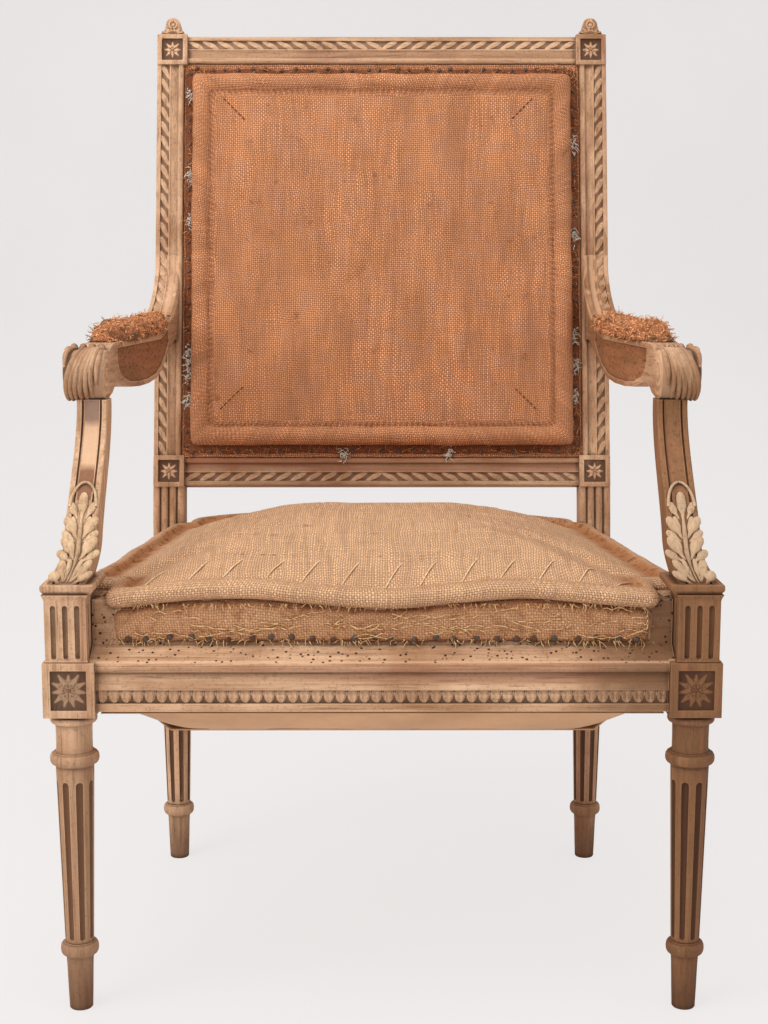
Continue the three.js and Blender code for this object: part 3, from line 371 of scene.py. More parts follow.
def copied(piece, name, matrix):
    """A copy with its own mesh, placed by a matrix."""
    only(piece)
    bpy.ops.object.duplicate()
    twin = bpy.context.active_object
    twin.name = name
    twin.data.name = name
    twin.data.transform(matrix)
    if matrix.determinant() < 0:
        twin.data.flip_normals()
    return twin


def smooth(piece, degrees=32):
    only(piece)
    bpy.ops.object.shade_smooth_by_angle(angle=math.radians(degrees))
    return piece


def all_smooth(piece):
    for face in piece.data.polygons:
        face.use_smooth = True
    return piece


def linked(name, mesh):
    piece = bpy.data.objects.new(name, mesh)
    bpy.context.scene.collection.objects.link(piece)
    return piece


def built(name, points, faces):
    """A mesh from points and faces, for cloth and threads."""
    mesh = bpy.data.meshes.new(name)
    mesh.from_pydata([tuple(p) for p in points], [], faces)
    mesh.update()
    return linked(name, mesh)


def grid_faces(rows, row, flipped=False):
    """Faces between rows of points, with this many points in a row."""
    corners = (0, row, row + 1, 1) if flipped else (0, 1, row + 1, row)
    return [tuple(j * row + i + corner for corner in corners) for j in range(rows) for i in range(row - 1)]


def ring_faces(rings, sides, first=0):
    """Faces of a closed form made of rings of points, both ends filled."""
    faces = []
    for start in range(first, first + (rings - 1) * sides, sides):
        for k in range(sides):
            a, b = start + k, start + (k + 1) % sides
            faces.append((a, b, b + sides, a + sides))
    faces.append(tuple(range(first, first + sides))[::-1])
    faces.append(tuple(range(first + (rings - 1) * sides, first + rings * sides)))
    return faces


def mapped(piece, place):
    """Gives a piece its cloth map, from the index of a vertex to its place on the flat cloth."""
    layer = piece.data.uv_layers.new(name="cloth")
    for loop in piece.data.loops:
        layer.data[loop.index].uv = place(loop.vertex_index)
    return piece


def scattered(name, source, moves):
    """Copies of a piece's mesh in one mesh, the points of each moved by a function of its own."""
    model = bmesh.new()
    for move in moves:
        first = len(model.verts)
        model.from_mesh(source.data)
        model.verts.ensure_lookup_table()
        for vertex in model.verts[first:]:
            vertex.co = move(vertex.co)
    mesh = bpy.data.meshes.new(name)
    model.to_mesh(mesh)
    model.free()
    return linked(name, mesh)


def placed(piece, material, slot, *replaced):
    """Gives a finished piece its material and body, and hides the nodes that it stands for. The slot is not
    used.
    """
    if not isinstance(material, (list, tuple)):
        material = [material]
    while len(piece.data.materials) > len(material):
        piece.data.materials.pop()
    for index, entry in enumerate(material):
        if index < len(piece.data.materials):
            piece.data.materials[index] = entry
        else:
            piece.data.materials.append(entry)
    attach(piece, "root")
    if replaced:
        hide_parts(*replaced)
    return piece


def paired(piece, right, left, node=None, carved=False):
    """Finishes a right-hand piece and its mirrored twin. {} in the node's name stands for the hand."""
    twin = copied(piece, piece.name.replace("right", "left"), MIRROR)
    for made, hand, finish in ((piece, "right", right), (twin, "left", left)):
        if not carved:
            smooth(made)
        placed(made, finish, "beech_frame", *([node.format(hand)] if node else []))


def wobble(*values, scale=1.0, seed=0.0):
    """Smooth noise between -1 and 1 at a place."""
    place = Vector(values + (0,) * (3 - len(values))) * scale
    return noise.noise(place + Vector((seed, seed * 1.7, -seed)))


def recessed(piece, test, amount=1.0, layer="recess"):
    """Marks the faces of a piece that lie in a hollow, which the wood finishes darken with painted shade."""
    marks = piece.data.attributes.get(layer) or piece.data.attributes.new(layer, "FLOAT", "FACE")
    for face in piece.data.polygons:
        if test(face):
            marks.data[face.index].value = amount
    return piece


def inside(low, high, depth):
    """A test for faces that lie deeper than this inside a box."""
    return lambda face: all(a + depth < c < b - depth for a, c, b in zip(low, face.center, high))


# Carved shapes, each modelled once in a unit box and then laid on a surface
def carved_shape(name, segments, rings, base_share, vein, point_share):
    """A leaf finger a unit long: narrow at its root, pointed or round at its tip, with a sunk vein."""
    rest()
    bpy.ops.mesh.primitive_uv_sphere_add(
        segments=segments, ring_count=rings, radius=0.5, rotation=(math.pi / 2, 0, 0))
    piece = named(name)
    edit(piece)
    pick(lambda v: v.co.y < -0.15, "VERT")
    bpy.ops.transform.resize(value=(base_share, 1, 0.7), center_override=(0, -0.5, 0))
    pick(lambda v: v.co.y > 0.2, "VERT")
    bpy.ops.transform.resize(value=(point_share, 1, 0.8), center_override=(0, 0.5, 0))
    pick(lambda v: abs(v.co.x) < 0.09 and v.co.z > 0.1 and abs(v.co.y) < 0.42, "VERT")
    bpy.ops.transform.translate(value=(0, 0, -vein))
    bpy.ops.mesh.select_all(action="SELECT")
    bpy.ops.transform.translate(value=(0, 0.5, 0))
    rest()
    return piece


KINDS = {
    "finger": (8, 8, 0.45, 0.2, 0.8), "petal": (8, 6, 0.5, 0.1, 0.55), "button": (10, 8, 1, 0.02, 1),
    "lobe": (10, 8, 0.42, 0.16, 1.22), "turn": (8, 8, 0.75, 0.05, 0.9), "tongue": (10, 8, 1.0, 0.3, 1.0),
}
SHAPES = {}


def shape(kind):
    """A carved shape that the whole chair shares, modelled when it is first asked for."""
    if kind not in SHAPES:
        SHAPES[kind] = carved_shape(f"shape_{kind}", *KINDS[kind])
    return SHAPES[kind]


def scrap_shapes():
    for kind in list(SHAPES):
        bpy.data.objects.remove(SHAPES.pop(kind))


def strewn(name, kind, spots, surface):
    """Copies of a shape on a surface. A spot is across, along, turn, width, length and height."""
    def laid(across, along, turn, width, length, height):
        cosine, sine = math.cos(turn), math.sin(turn)

        def move(point):
            dx, dy = point.x * width, point.y * length
            to_side, to_end = across + dx * cosine + dy * sine, along - dx * sine + dy * cosine
            return surface(to_side, to_end, point.z * height * 2)

        return move

    return smooth(tidied(scattered(name, shape(kind), [laid(*spot) for spot in spots])), 80)


def plane(origin, across, along, outward):
    """A flat surface for carving."""
    return lambda a, b, up: origin + across * a + along * b + outward * up


def rosette(name, surface, petals, reach, thickness, square):
    """Petals round a button, longer towards the corners where the recess is square."""
    spots = []
    for layer, (count, length, width, height) in enumerate(
            [(petals, 1.0, 0.4, 1.0), (petals // 2 + 1, 0.66, 0.42, 1.6)]):
        for index in range(count):
            angle = (index + layer * 0.5) * math.tau / count
            stretch = 1 + (square - 1) * abs(math.sin(2 * angle))
            spots.append((0, 0, angle, reach * width, reach * length * stretch, thickness * height))
    flower = strewn(name, "petal", spots, surface)
    middle = (0, -reach * 0.17, 0, reach * 0.34, reach * 0.34, thickness * 2)
    return joined(name, flower, strewn(name + "_button", "button", [middle], surface))


# Materials
class Paint:
    """A node material, built up socket by socket."""

    def __init__(self, name):
        self.material = bpy.data.materials.new(name)
        self.material.use_nodes = True
        self.tree = self.material.node_tree
        self.shader = self.tree.nodes["Principled BSDF"]

    def node(self, kind, inputs=(), output=0, **settings):
        made = self.tree.nodes.new(kind)
        for key, value in settings.items():
            setattr(made, key, value)
        for key, value in dict(inputs).items():
            if isinstance(value, bpy.types.NodeSocket):
                self.tree.links.new(value, made.inputs[key])
            elif value is not None:
                made.inputs[key].default_value = value
        return made.outputs[output]

    def math(self, operation, a, b=None):
        return self.node("ShaderNodeMath", {0: a, 1: b}, operation=operation)

    def sum(self, a, b):
        return self.math("ADD", a, b)

    def product(self, a, b):
        return self.math("MULTIPLY", a, b)

    def mix(self, share, a, b, amount=None):
        """From one colour or socket to another by a share, which an amount can weaken."""
        if amount is not None:
            share = self.product(share, amount)
        a, b = ((*v, 1) if isinstance(v, tuple) else v for v in (a, b))
        return self.node("ShaderNodeMix", {0: share, 6: a, 7: b}, 2, data_type="RGBA")

    def axis(self, place, index):
        return self.node("ShaderNodeSeparateXYZ", {0: place}, index)

    def attribute(self, name):
        return self.node("ShaderNodeAttribute", output=2, attribute_name=name)

    def spread(self, value, low, high):
        """A value brought from a range to between 0 and 1."""
        return self.node("ShaderNodeMapRange", {0: value, 1: low, 2: high}, clamp=True)

    def objects(self, scale=(1, 1, 1)):
        place = self.node("ShaderNodeTexCoord", output=3)
        return self.node("ShaderNodeMapping", {0: place, 3: scale})

    def noise(self, place, scale, detail=3.0, roughness=0.55):
        settings = {"Vector": place, "Scale": scale, "Detail": detail, "Roughness": roughness}
        return self.node("ShaderNodeTexNoise", settings)

    # Ambient occlusion: the finishes use it for painted shade in hollows, and look inwards with it to find the
    # edges that wear lightens.
    def recess(self, distance, inside=False):
        return self.node("ShaderNodeAmbientOcclusion", {"Distance": distance}, 1, samples=6, inside=inside)

    def done(self, base, roughness=0.8, bump=None, strength=0.4, depth=MM, sheen=0.0, metallic=0.0):
        self.tree.links.new(base, self.shader.inputs["Base Color"])
        if isinstance(roughness, bpy.types.NodeSocket):
            self.tree.links.new(roughness, self.shader.inputs["Roughness"])
        else:
            self.shader.inputs["Roughness"].default_value = roughness
        self.shader.inputs["Metallic"].default_value = metallic
        self.shader.inputs["Specular IOR Level"].default_value = 0.3
        self.shader.inputs["Sheen Weight"].default_value = sheen
        if bump is not None:
            normal = self.node("ShaderNodeBump", {"Strength": strength, "Distance": depth, "Height": bump})
            self.tree.links.new(normal, self.shader.inputs["Normal"])
        return self.material


GRAINS = {"x": (5, 130, 130), "y": (130, 5, 130), "z": (130, 130, 5)}


def wood(name, grain, light, dark, share, grime, holes=0.0, worn=0.35, dirt=None, red=0.0, panel=False,
         soot=0.0, below=0.0):
    """Beech with grain along one axis, stained in patches, darkened by painted shade in its recesses and pale on
    its edges.
    """
    paint = Paint(name)
    place = paint.objects()

    def grained(fine, detail, roughness=0.55):
        return paint.noise(paint.objects([v * fine for v in GRAINS[grain]]), 1.0, detail, roughness)

    streaks, pores = grained(1, 5.0, 0.6), grained(7, 2.0)
    patches = paint.noise(place, 9.0, 4.0, 0.62)
    deep = times(dark, 0.5)
    base = paint.mix(paint.spread(paint.sum(patches, share - 0.5), 0.36, 0.66), light, dark)
    base = paint.mix(paint.spread(streaks, 0.34, 0.7), base, dark, 0.62)
    base = paint.mix(paint.spread(grained(2.2, 3.0, 0.6), 0.56, 0.66), base, deep, 0.45)
    base = paint.mix(paint.spread(grained(0.6, 4.0, 0.6), 0.56, 0.66), base, times(light, 1.25), 0.4)
    base = paint.mix(paint.spread(paint.noise(place, 330.0, 3.0, 0.6), 0.56, 0.64), base, deep, 0.3)
    base = paint.mix(paint.spread(pores, 0.42, 0.3), base, grime, 0.35)
    if red:
        base = paint.mix(paint.spread(grained(0.3, 3.0), 0.5, 0.64), base, srgb(146, 88, 62), red)
    # Painted shade in hollows: ambient occlusion, and the faces marked as recessed in patches, darken towards
    # the grime colour.
    hollow = paint.spread(paint.recess(6 * MM), 0.96, 0.5)
    sunk_in = paint.product(paint.attribute("recess"), paint.spread(patches, 0.15, 0.4))
    base = paint.mix(paint.math("MAXIMUM", hollow, sunk_in), base, grime, 0.86)
    if soot:
        end = paint.sum(paint.axis(place, 0), paint.product(patches, 0.12))
        base = paint.mix(paint.spread(end, 0.24, 0.31), base, deep, soot)
    if below:
        base = paint.mix(paint.spread(paint.axis(place, 2), 0.28, 0.25), base, times(dark, 0.7), below)
    # The left stem's sunk panel is painted in bands up its height: darker red-brown near the leaf, a pale lit
    # band, and a grey painted shadow under the scroll.
    if panel:
        level = paint.sum(paint.axis(place, 2), paint.product(patches, 0.02))
        glow = paint.mix(paint.spread(level, 0.531, 0.539), srgb(128, 82, 56), light)
        glow = paint.mix(paint.spread(level, 0.574, 0.582), glow, srgb(142, 112, 96))
        base = paint.mix(paint.attribute("panel"), base, glow, 0.85)
    edges = paint.spread(paint.recess(1.6 * MM, inside=True), 0.9, 0.45)
    base = paint.mix(edges, base, times(light, 1.35), worn)
    height = paint.sum(paint.product(streaks, 0.6), paint.product(pores, 0.4))
    if dirt:
        level = paint.sum(paint.axis(place, 2), paint.product(patches, 0.05))
        base = paint.mix(paint.spread(level, dirt[1] + 0.02, dirt[0]), base, grime, 0.75)
    if holes:
        cells = paint.node("ShaderNodeTexVoronoi", {"Vector": place, "Scale": 1 / (6 * MM)})
        there = paint.spread(paint.noise(place, 80.0, 2.0), 0.34, 0.42)
        pits = paint.product(paint.product(paint.spread(cells, 0.27, 0.16), there), holes)
        base = paint.mix(pits, base, times(grime, 0.6))
        height = paint.math("SUBTRACT", height, paint.product(pits, 1.5))
    roughness = paint.node("ShaderNodeMapRange", {0: streaks, 3: 0.62, 4: 0.86})
    return paint.done(base, roughness, height, 0.5, 0.5 * MM)


def weave(name, thread, gap, pitch, rag=0.0, edge=None, dirt=None, fold_shade=0.4, gaps=1.0, beads=0.7,
          rumple=0.0):
    """Coarse plain weave on the piece's own UV map, in metres: uneven threads over and under each other, with
    painted shade between threads, on every other crossing, in folds and in hollows, and painted highlight on
    fold ridges.
    """
    paint = Paint(name)
    uv = paint.node("ShaderNodeUVMap", uv_map="cloth")
    drift = paint.node("ShaderNodeTexNoise", {"Vector": uv, "Scale": 24.0, "Detail": 3.0}, 1)
    shift = (9 * MM, 9 * MM, 0)
    moved = paint.node("ShaderNodeVectorMath", {0: drift, 1: shift, 2: uv}, operation="MULTIPLY_ADD")
    across, along = (paint.math("DIVIDE", paint.axis(moved, index), pitch) for index in (0, 1))
    crowns, tones = [], []
    for thread_at, run in ((across, along), (along, across)):
        crowns.append(paint.math("ABSOLUTE", paint.math("SINE", paint.product(thread_at, math.pi))))
        number = paint.product(paint.math("FLOOR", thread_at), 7.31)
        spot = paint.node("ShaderNodeCombineXYZ", {0: number, 1: paint.product(run, 0.04)})
        tones.append(paint.noise(spot, 1.0, 3.0, 0.6))
    over = paint.node("ShaderNodeTexChecker", {"Vector": moved, "Scale": 1 / pitch}, 1)
    crown = paint.node("ShaderNodeMix", {0: over, 2: crowns[0], 3: crowns[1]})
    tone = paint.node("ShaderNodeMix", {0: over, 2: tones[0], 3: tones[1]})
    mottle = paint.noise(uv, 14.0, 5.0, 0.65)
    folds = paint.node("ShaderNodeMapping", {0: uv, 3: (9.0, 2.5, 1)})
    cloudy = paint.noise(folds, 1.0, 3.0, 0.5)
    bright = times(thread, min(1.3, 1 / max(thread)))
    base = paint.mix(paint.spread(tone, 0.34, 0.6), times(thread, 0.56), bright)
    # Painted shade on every other crossing, so that the crossings between stand out as painted highlights.
    base = paint.mix(over, base, times(thread, 0.46), beads)
    base = paint.mix(paint.spread(mottle, 0.42, 0.66), base, times(thread, 0.62), 0.3)
    # Painted shade of long soft folds.
    base = paint.mix(paint.spread(cloudy, 0.42, 0.64), base, times(thread, 0.6), fold_shade)
    # Painted shadow in the hollows of soft folds and painted highlight on their ridges, from the same noise as
    # the folds' bump.
    if rumple:
        loose = paint.noise(paint.node("ShaderNodeMapping", {0: uv, 3: (26.0, 8.0, 1)}), 1.0, 3.0, 0.55)
        base = paint.mix(paint.spread(loose, 0.49, 0.36), base, times(thread, 0.48), rumple)
        base = paint.mix(paint.spread(loose, 0.52, 0.68), base, bright, 0.5 * rumple)
    # Painted shade at the sides of each thread, and the dark gap colour in the holes between threads.
    hole = paint.product(paint.spread(paint.math("MAXIMUM", *crowns), 0.84, 0.45), gaps)
    shade = paint.math("MAXIMUM", hole, paint.product(paint.spread(crown, 0.72, 0.1), 0.8 * gaps))
    base = paint.mix(shade, base, gap)
    if rag:
        torn = paint.noise(uv, 30.0, 6.0, 0.7)
        base = paint.mix(paint.spread(torn, 0.5, 0.72), base, gap, rag)
    # Where the edge mark says, the cloth darkens towards the edge colour: painted shade on the seat's wall,
    # under its roll and in its channel; on the back, the tacked margin's own colour, the foot of the roll and
    # the stitches.
    if edge:
        mask = paint.attribute("edge")
        base = paint.mix(mask, base, edge, paint.spread(mottle, 0.1, 0.5))
        torn = paint.spread(paint.noise(uv, 70.0, 4.0, 0.7), 0.52, 0.6)
        base = paint.mix(paint.product(torn, mask), base, gap, 0.8)
    if dirt:
        spots = paint.spread(paint.noise(uv, 42.0, 3.0, 0.6), 0.64, 0.72)
        base = paint.mix(spots, base, dirt, 0.45)
    # Painted shade in hollows, from ambient occlusion, in the gap colour.
    hollow = paint.spread(paint.recess(10 * MM), 0.85, 0.3)
    base = paint.mix(hollow, base, gap, 0.75)
    height = paint.sum(crown, paint.product(tone, 0.6))
    if rumple:
        height = paint.sum(height, paint.product(loose, 20 * rumple))
    return paint.done(base, 0.95, height, 0.8, 0.8 * MM)


def plain_cloth(name, thread, shade):
    """Smooth cotton with faint threads and stains."""
    paint = Paint(name)
    place = paint.objects()
    stains = paint.noise(place, 12.0, 5.0, 0.6)
    threads = paint.noise(paint.objects(scale=(900, 900, 200)), 1.0, 2.0)
    base = paint.mix(paint.spread(stains, 0.35, 0.7), thread, shade)
    base = paint.mix(paint.spread(threads, 0.4, 0.65), base, shade, 0.25)
    return paint.done(base, 0.9, threads, 0.25, 0.3 * MM, sheen=0.1)


def metal(name, tint):
    """Dull steel with rust."""
    paint = Paint(name)
    rust = paint.noise(paint.objects(), 160.0, 4.0, 0.6)
    base = paint.mix(paint.spread(rust, 0.45, 0.62), tint, srgb(104, 62, 38))
    roughness = paint.node("ShaderNodeMapRange", {0: rust, 3: 0.38, 4: 0.8})
    return paint.done(base, roughness, rust, 0.3, 0.3 * MM, metallic=0.75)


def fibre(name, tint, shade, patch=None):
    """Loose thread or wadding, with patches of another colour."""
    paint = Paint(name)
    tone = paint.noise(paint.objects(), 220.0, 2.0)
    base = paint.mix(paint.spread(tone, 0.38, 0.6), tint, shade)
    if patch:
        base = paint.mix(paint.spread(paint.noise(paint.objects(), 55.0, 3.0), 0.53, 0.6), base, patch)
    # Painted shade in hollows, from ambient occlusion.
    base = paint.mix(paint.spread(paint.recess(6 * MM), 0.8, 0.2), base, shade, 0.4)
    return paint.done(base, 0.95)


PALETTE = {}


def palette():
    """Every finish of the chair, made once."""
    if PALETTE:
        return PALETTE
    tint = bpy.context.scene.chair_finish
    light, dark, cream = tuple(tint.beech), tuple(tint.aged), tuple(tint.cream)
    grime, gap = tuple(tint.grime), tuple(tint.gap)
    brown, feet = times(dark, 0.62), (0.02, 0.09)
    woods = {
        "left_y": ("bleached_beech_y", "y", light, dark, 0.42, {"red": 0.3}),
        "right_y": ("aged_beech_y", "y", light, dark, 0.55, {"red": 0.3}),
        "leg_left": ("leg_beech_left", "z", light, dark, 0.3, {"dirt": feet, "red": 0.3, "below": 0.45}),
        "leg_right": ("leg_beech_right", "z", dark, brown, 0.54, {"worn": 0.45, "dirt": feet, "red": 0.4}),
        "stile_right": ("stile_beech_right", "z", light, dark, 0.52, {"dirt": feet, "red": 0.3}),
        "leg_back": ("leg_beech_back", "z", light, dark, 0.4, {"dirt": feet, "red": 0.25}),
        "rail_x": ("rail_beech_x", "x", light, dark, 0.42, {"red": 0.5, "soot": 0.7}),
        "rail_top": ("rail_beech_top", "x", light, dark, 0.36, {"red": 0.2}),
        "rail_low": ("rail_beech_low", "x", times(light, 0.86), dark, 0.44, {"red": 0.7}),
        # The left stem's sunk panel gets painted bands of light and shadow.
        "stem_left": ("stem_beech_left", "z", light, dark, 0.36, {"red": 0.35, "panel": True}),
        "stem_right": ("stem_beech_right", "z", dark, brown, 0.42, {"worn": 0.5, "red": 0.4}),
        "tacked_x": ("tack_band_x", "x", light, dark, 0.46, {"holes": 1.0, "red": 0.4, "soot": 0.75}),
        "tacked_y": ("tack_band_y", "y", light, dark, 0.5, {"holes": 1.0, "red": 0.4}),
        "leaf": ("painted_leaf", "z", cream, dark, 0.34, {"worn": 0.3}),
        "leaf_right": ("painted_leaf_aged", "z", times(cream, 0.8), times(light, 0.7), 0.5, {}),
        "scroll": ("scroll_leaf", "z", times(light, 0.84), dark, 0.56, {"red": 0.4}),
        "stained": ("stained_bed", "y", tuple(tint.stained), brown, 0.46, {"holes": 1.0, "red": 0.5}),
        "inner": ("sawn_beech", "x", times(light, 0.8), dark, 0.5, {}),
    }
    for key, (name, grain, pale, deep, share, more) in woods.items():
        PALETTE[key] = wood(name, grain, pale, deep, share, grime, **more)
    pitch = bpy.context.scene.chair_seat.thread
    weaves = {
        # The seat's edge colour is its painted shade; the back's darkens its tacked margin, the foot of its roll
        # and its stitches.
        "seat": ("seat_burlap", tint.seat, pitch, {
            "edge": srgb(176, 118, 74), "dirt": gap, "fold_shade": 0.15, "gaps": 0.75, "beads": 0.5,
            "rumple": 0.2}),
        "back": ("back_burlap", tint.back, pitch, {
            "edge": srgb(128, 74, 46), "dirt": gap, "fold_shade": 0.6, "rumple": 0.55}),
        "pad": ("pad_burlap", tint.pad, pitch, {"rag": 0.9}),
        "webbing": ("jute_webbing", tint.webbing, 1.4 * MM, {"gaps": 0.6}),
    }
    for key, (name, thread, spacing, more) in weaves.items():
        PALETTE[key] = weave(name, tuple(thread), gap, spacing, **more)
    fibres = {
        "thread": ("linen_thread", srgb(244, 216, 180), srgb(226, 186, 142)),
        "twine": ("dark_twine", srgb(128, 72, 40), srgb(84, 44, 26)),
        "fray": ("frayed_burlap", srgb(228, 166, 112), srgb(150, 92, 54)),
        "straw": ("seat_threads", srgb(240, 204, 150), srgb(186, 136, 84)),
        "rag": ("torn_rag", srgb(252, 196, 142), srgb(190, 116, 70), srgb(112, 96, 74)),
        "fluff": ("cotton_wadding", tuple(tint.fluff), srgb(226, 216, 200)),
    }
    for key, tints in fibres.items():
        PALETTE[key] = fibre(*tints)
    PALETTE["dust"] = plain_cloth("dust_cloth", tuple(tint.dust), times(tint.dust, 0.72))
    PALETTE["steel"] = metal("old_steel", tuple(tint.steel))
    return PALETTE


# Shared parts of the frame
def turned_leg(name, x, y):
    """Foot, ankle ring, fluted shaft, knee ring, neck and collar."""
    sizes = bpy.context.scene.chair_legs
    ankle, knee = (54 * MM, 69 * MM), (246 * MM, 259.6 * MM)

    def ring(neck, radius, low, high):
        shares = [(0, 0), (0.28, 0.02), (0.3, 0.1), (0.74, 0.16), (0.94, 0.3), (1, 0.5), (0.94, 0.7),
                  (0.74, 0.84), (0.3, 0.9), (0.28, 0.98), (0, 1)]
        return [(neck + (radius - neck) * out, low + (high - low) * up) for out, up in shares]

    profile = [
        (0, 0), (sizes.toe - 0.7 * MM, 0), (sizes.toe, 1 * MM), (sizes.toe + 0.7 * MM, 20 * MM),
        (sizes.toe + 1.4 * MM, 44 * MM), (sizes.toe + 1.9 * MM, ankle[0] - 1 * MM),
        *ring(sizes.toe + 2 * MM, sizes.ankle, *ankle),
        (sizes.shaft_low, ankle[1] + 0.6 * MM),
        *[(sizes.shaft_low + (sizes.shaft_top - sizes.shaft_low) * k / 6,
           ankle[1] + (knee[0] - ankle[1]) * k / 6) for k in range(1, 6)],
        (sizes.shaft_top, knee[0] - 0.6 * MM),
        *ring(sizes.neck, sizes.knee, *knee),
        (sizes.neck - 0.6 * MM, knee[1] + 3 * MM), (sizes.neck - 0.7 * MM, 272 * MM),
        (sizes.neck - 0.5 * MM, 284 * MM),
        (sizes.neck - 0.1 * MM, 286.4 * MM), *ring(sizes.neck, sizes.collar - 0.5 * MM, 287 * MM, 296.4 * MM),
        (sizes.neck + 1 * MM, 296.6 * MM), (sizes.neck + 1 * MM, DIE_BOTTOM + HAIR), (0, DIE_BOTTOM + HAIR),
    ]
    leg = turned(name, profile, x, y, sizes.steps)
    low, high = ankle[1] + 6 * MM, knee[0] - 18 * MM
    gouge = capsule("flute_gouge", sizes.flute, high - low, 14, taper=0.78)
    lean = math.atan2(sizes.shaft_top - sizes.shaft_low, knee[0] - ankle[1])
    leaning = Matrix.Translation((sizes.shaft_low + 0.9 * MM, 0, 0)) @ Matrix.Rotation(lean, 4, "Y")
    angles = [(k + 0.5) * math.tau / sizes.flutes for k in range(sizes.flutes)]
    foot = Matrix.Translation((x, y, low))
    places = [foot @ Matrix.Rotation(angle, 4, "Z") @ leaning for angle in angles]
    slope = (sizes.shaft_top - sizes.shaft_low) / (knee[0] - ankle[1])

    def fluted(face):
        land = sizes.shaft_low + slope * (face.center.z - ankle[1])
        deep = math.hypot(face.center.x - x, face.center.y - y) < land - 0.4 * MM
        return deep and low - 5 * MM < face.center.z < high + 5 * MM

    return recessed(fluting(leg, gouge, places), fluted)


def capsule(name, radius, length, segments, taper=1.0):
    """A round-ended gouge that stands on the origin."""
    rest()
    bpy.ops.mesh.primitive_uv_sphere_add(segments=segments, ring_count=8, radius=radius)
    piece = named(name)
    edit(piece)
    pick(lambda v: v.co.z < -0.1 * radius, "VERT")
    bpy.ops.transform.resize(value=(taper, taper, taper), center_override=(0, 0, 0))
    pick(lambda v: v.co.z > -0.1 * radius, "VERT")
    bpy.ops.transform.translate(value=(0, 0, length))
    rest()
    return piece


def fluting(piece, gouge, places):
    """Cuts a gouge out of a piece at each place."""
    gouges = [copied(gouge, f"gouge_{k}", place) for k, place in enumerate(places)]
    bpy.data.objects.remove(gouge)
    return gouged(piece, joined("gouges", *gouges))


def sunk(piece, normal, margin, depth):
    """Sinks a square recess into the face that looks one way."""
    edit(piece)
    pick(lambda f: f.normal.dot(normal) > 0.99)
    bpy.ops.mesh.inset(thickness=margin)
    bpy.ops.mesh.extrude_region_move(TRANSFORM_OT_translate={"value": -normal * depth})
    rest()
    return piece


def die(name, y_low, front):
    """The square block over a leg, with its rosettes."""
    sizes = bpy.context.scene.chair_carving
    low = Vector((LEG_LOW.x if front else BACK_HIGH.x - DIE_SIDE, y_low, DIE_BOTTOM))
    high = Vector((low.x + DIE_SIDE, y_low + DIE_SIDE, DIE_TOP))
    piece = block(name, low, high)
    sides = [("_side_flower", OUT_X, Vector((0, 1, 0)))] + ([("_flower", OUT_Y, OUT_X)] if front else [])
    for _, out, _ in sides:
        sunk(piece, out, sizes.margin, sizes.sink)
    rounded(piece, sizes.edge)
    recessed(piece, inside(low, high, 1.2 * MM))
    floor = DIE_SIDE / 2 - sizes.sink - HAIR
    flowers = [rosette(name + ending, plane((low + high) / 2 + out * floor, across, UP, out), sizes.rays,
                       15.5 * MM, 2.1 * MM, 1.2) for ending, out, across in sides]
    for flower in flowers:
        recessed(flower, lambda face: True, 1.1)
    return joined(name, piece, *flowers)


def rectangle(low_x, low_y, high_x, high_y, z):
    return [(low_x, low_y, z), (high_x, low_y, z), (high_x, high_y, z), (low_x, high_y, z)]


def post():
    """The fluted post over a front die, flared under the cap."""
    sizes = bpy.context.scene.chair_legs
    levels = [(0, 0.8), (1.6, 0.8), (2.2, 0), (58.6, 0), (60.5, 0.4), (63, 1.4), (65, 2.5)]
    rings = [rectangle(POST_LOW.x - out * MM, POST_LOW.y - out * MM, POST_HIGH.x + out * MM, POST_HIGH.y,
                       DIE_TOP + rise * MM) for rise, out in levels]
    piece = rounded(lofted("post", rings), 0.9 * MM)
    gouge = capsule("post_gouge", sizes.post_flute, 46 * MM, 12)
    width, depth = POST_HIGH.x - POST_LOW.x, POST_HIGH.y - POST_LOW.y
    low = DIE_TOP + 6 * MM
    spots = [(POST_LOW.x + width * (0.75 + k) / 3.5, POST_LOW.y + 0.3 * MM) for k in range(3)]
    spots += [(POST_HIGH.x - 0.3 * MM, POST_LOW.y + depth * (0.75 + k) / 3.5) for k in range(3)]
    spots += [(POST_LOW.x + 0.3 * MM, POST_LOW.y + depth * 0.3)]
    piece = fluting(piece, gouge, [Matrix.Translation((x, y, low)) for x, y in spots])
    return recessed(piece, inside(POST_LOW, POST_HIGH, 0.5 * MM), 0.45)


class CHAIR_OT_front_legs(bpy.types.Operator):
    """Front legs, with their dies and fluted posts"""
    bl_idname = "chair.front_legs"
    bl_label = "Front Legs"

    def execute(self, context):
        x, y = LEG_LOW.x + DIE_SIDE / 2, FRONT + DIE_SIDE / 2
        leg = turned_leg("carved_front_leg_right", x, y)
        right = joined("carved_front_leg_right", leg, die("die", FRONT, True), post())
        paired(right, palette()["leg_right"], palette()["leg_left"], "front_leg_{}")
        return {"FINISHED"}


def moulding(width):
    """Face of a stile or back rail: fillet, twist channel, hollow and inner bead, outer edge first."""
    shares = [(0, 4), (0, 1.2), (0.03, 0.2), (0.15, 0), (0.165, 0.9), (0.18, 2.6), (0.44, 2.6), (0.455, 0.9),
              (0.47, 0.3), (0.5, 0.4), (0.52, 1.2), (0.58, 2.4), (0.68, 3.3), (0.76, 3.2), (0.79, 2.4),
              (0.795, 1), (0.82, 0.1), (0.88, -0.4), (0.94, 0.1), (0.97, 1), (0.985, 2.2), (1, 3.4), (1, 8)]
    return [(width * across, depth * MM) for across, depth in shares]


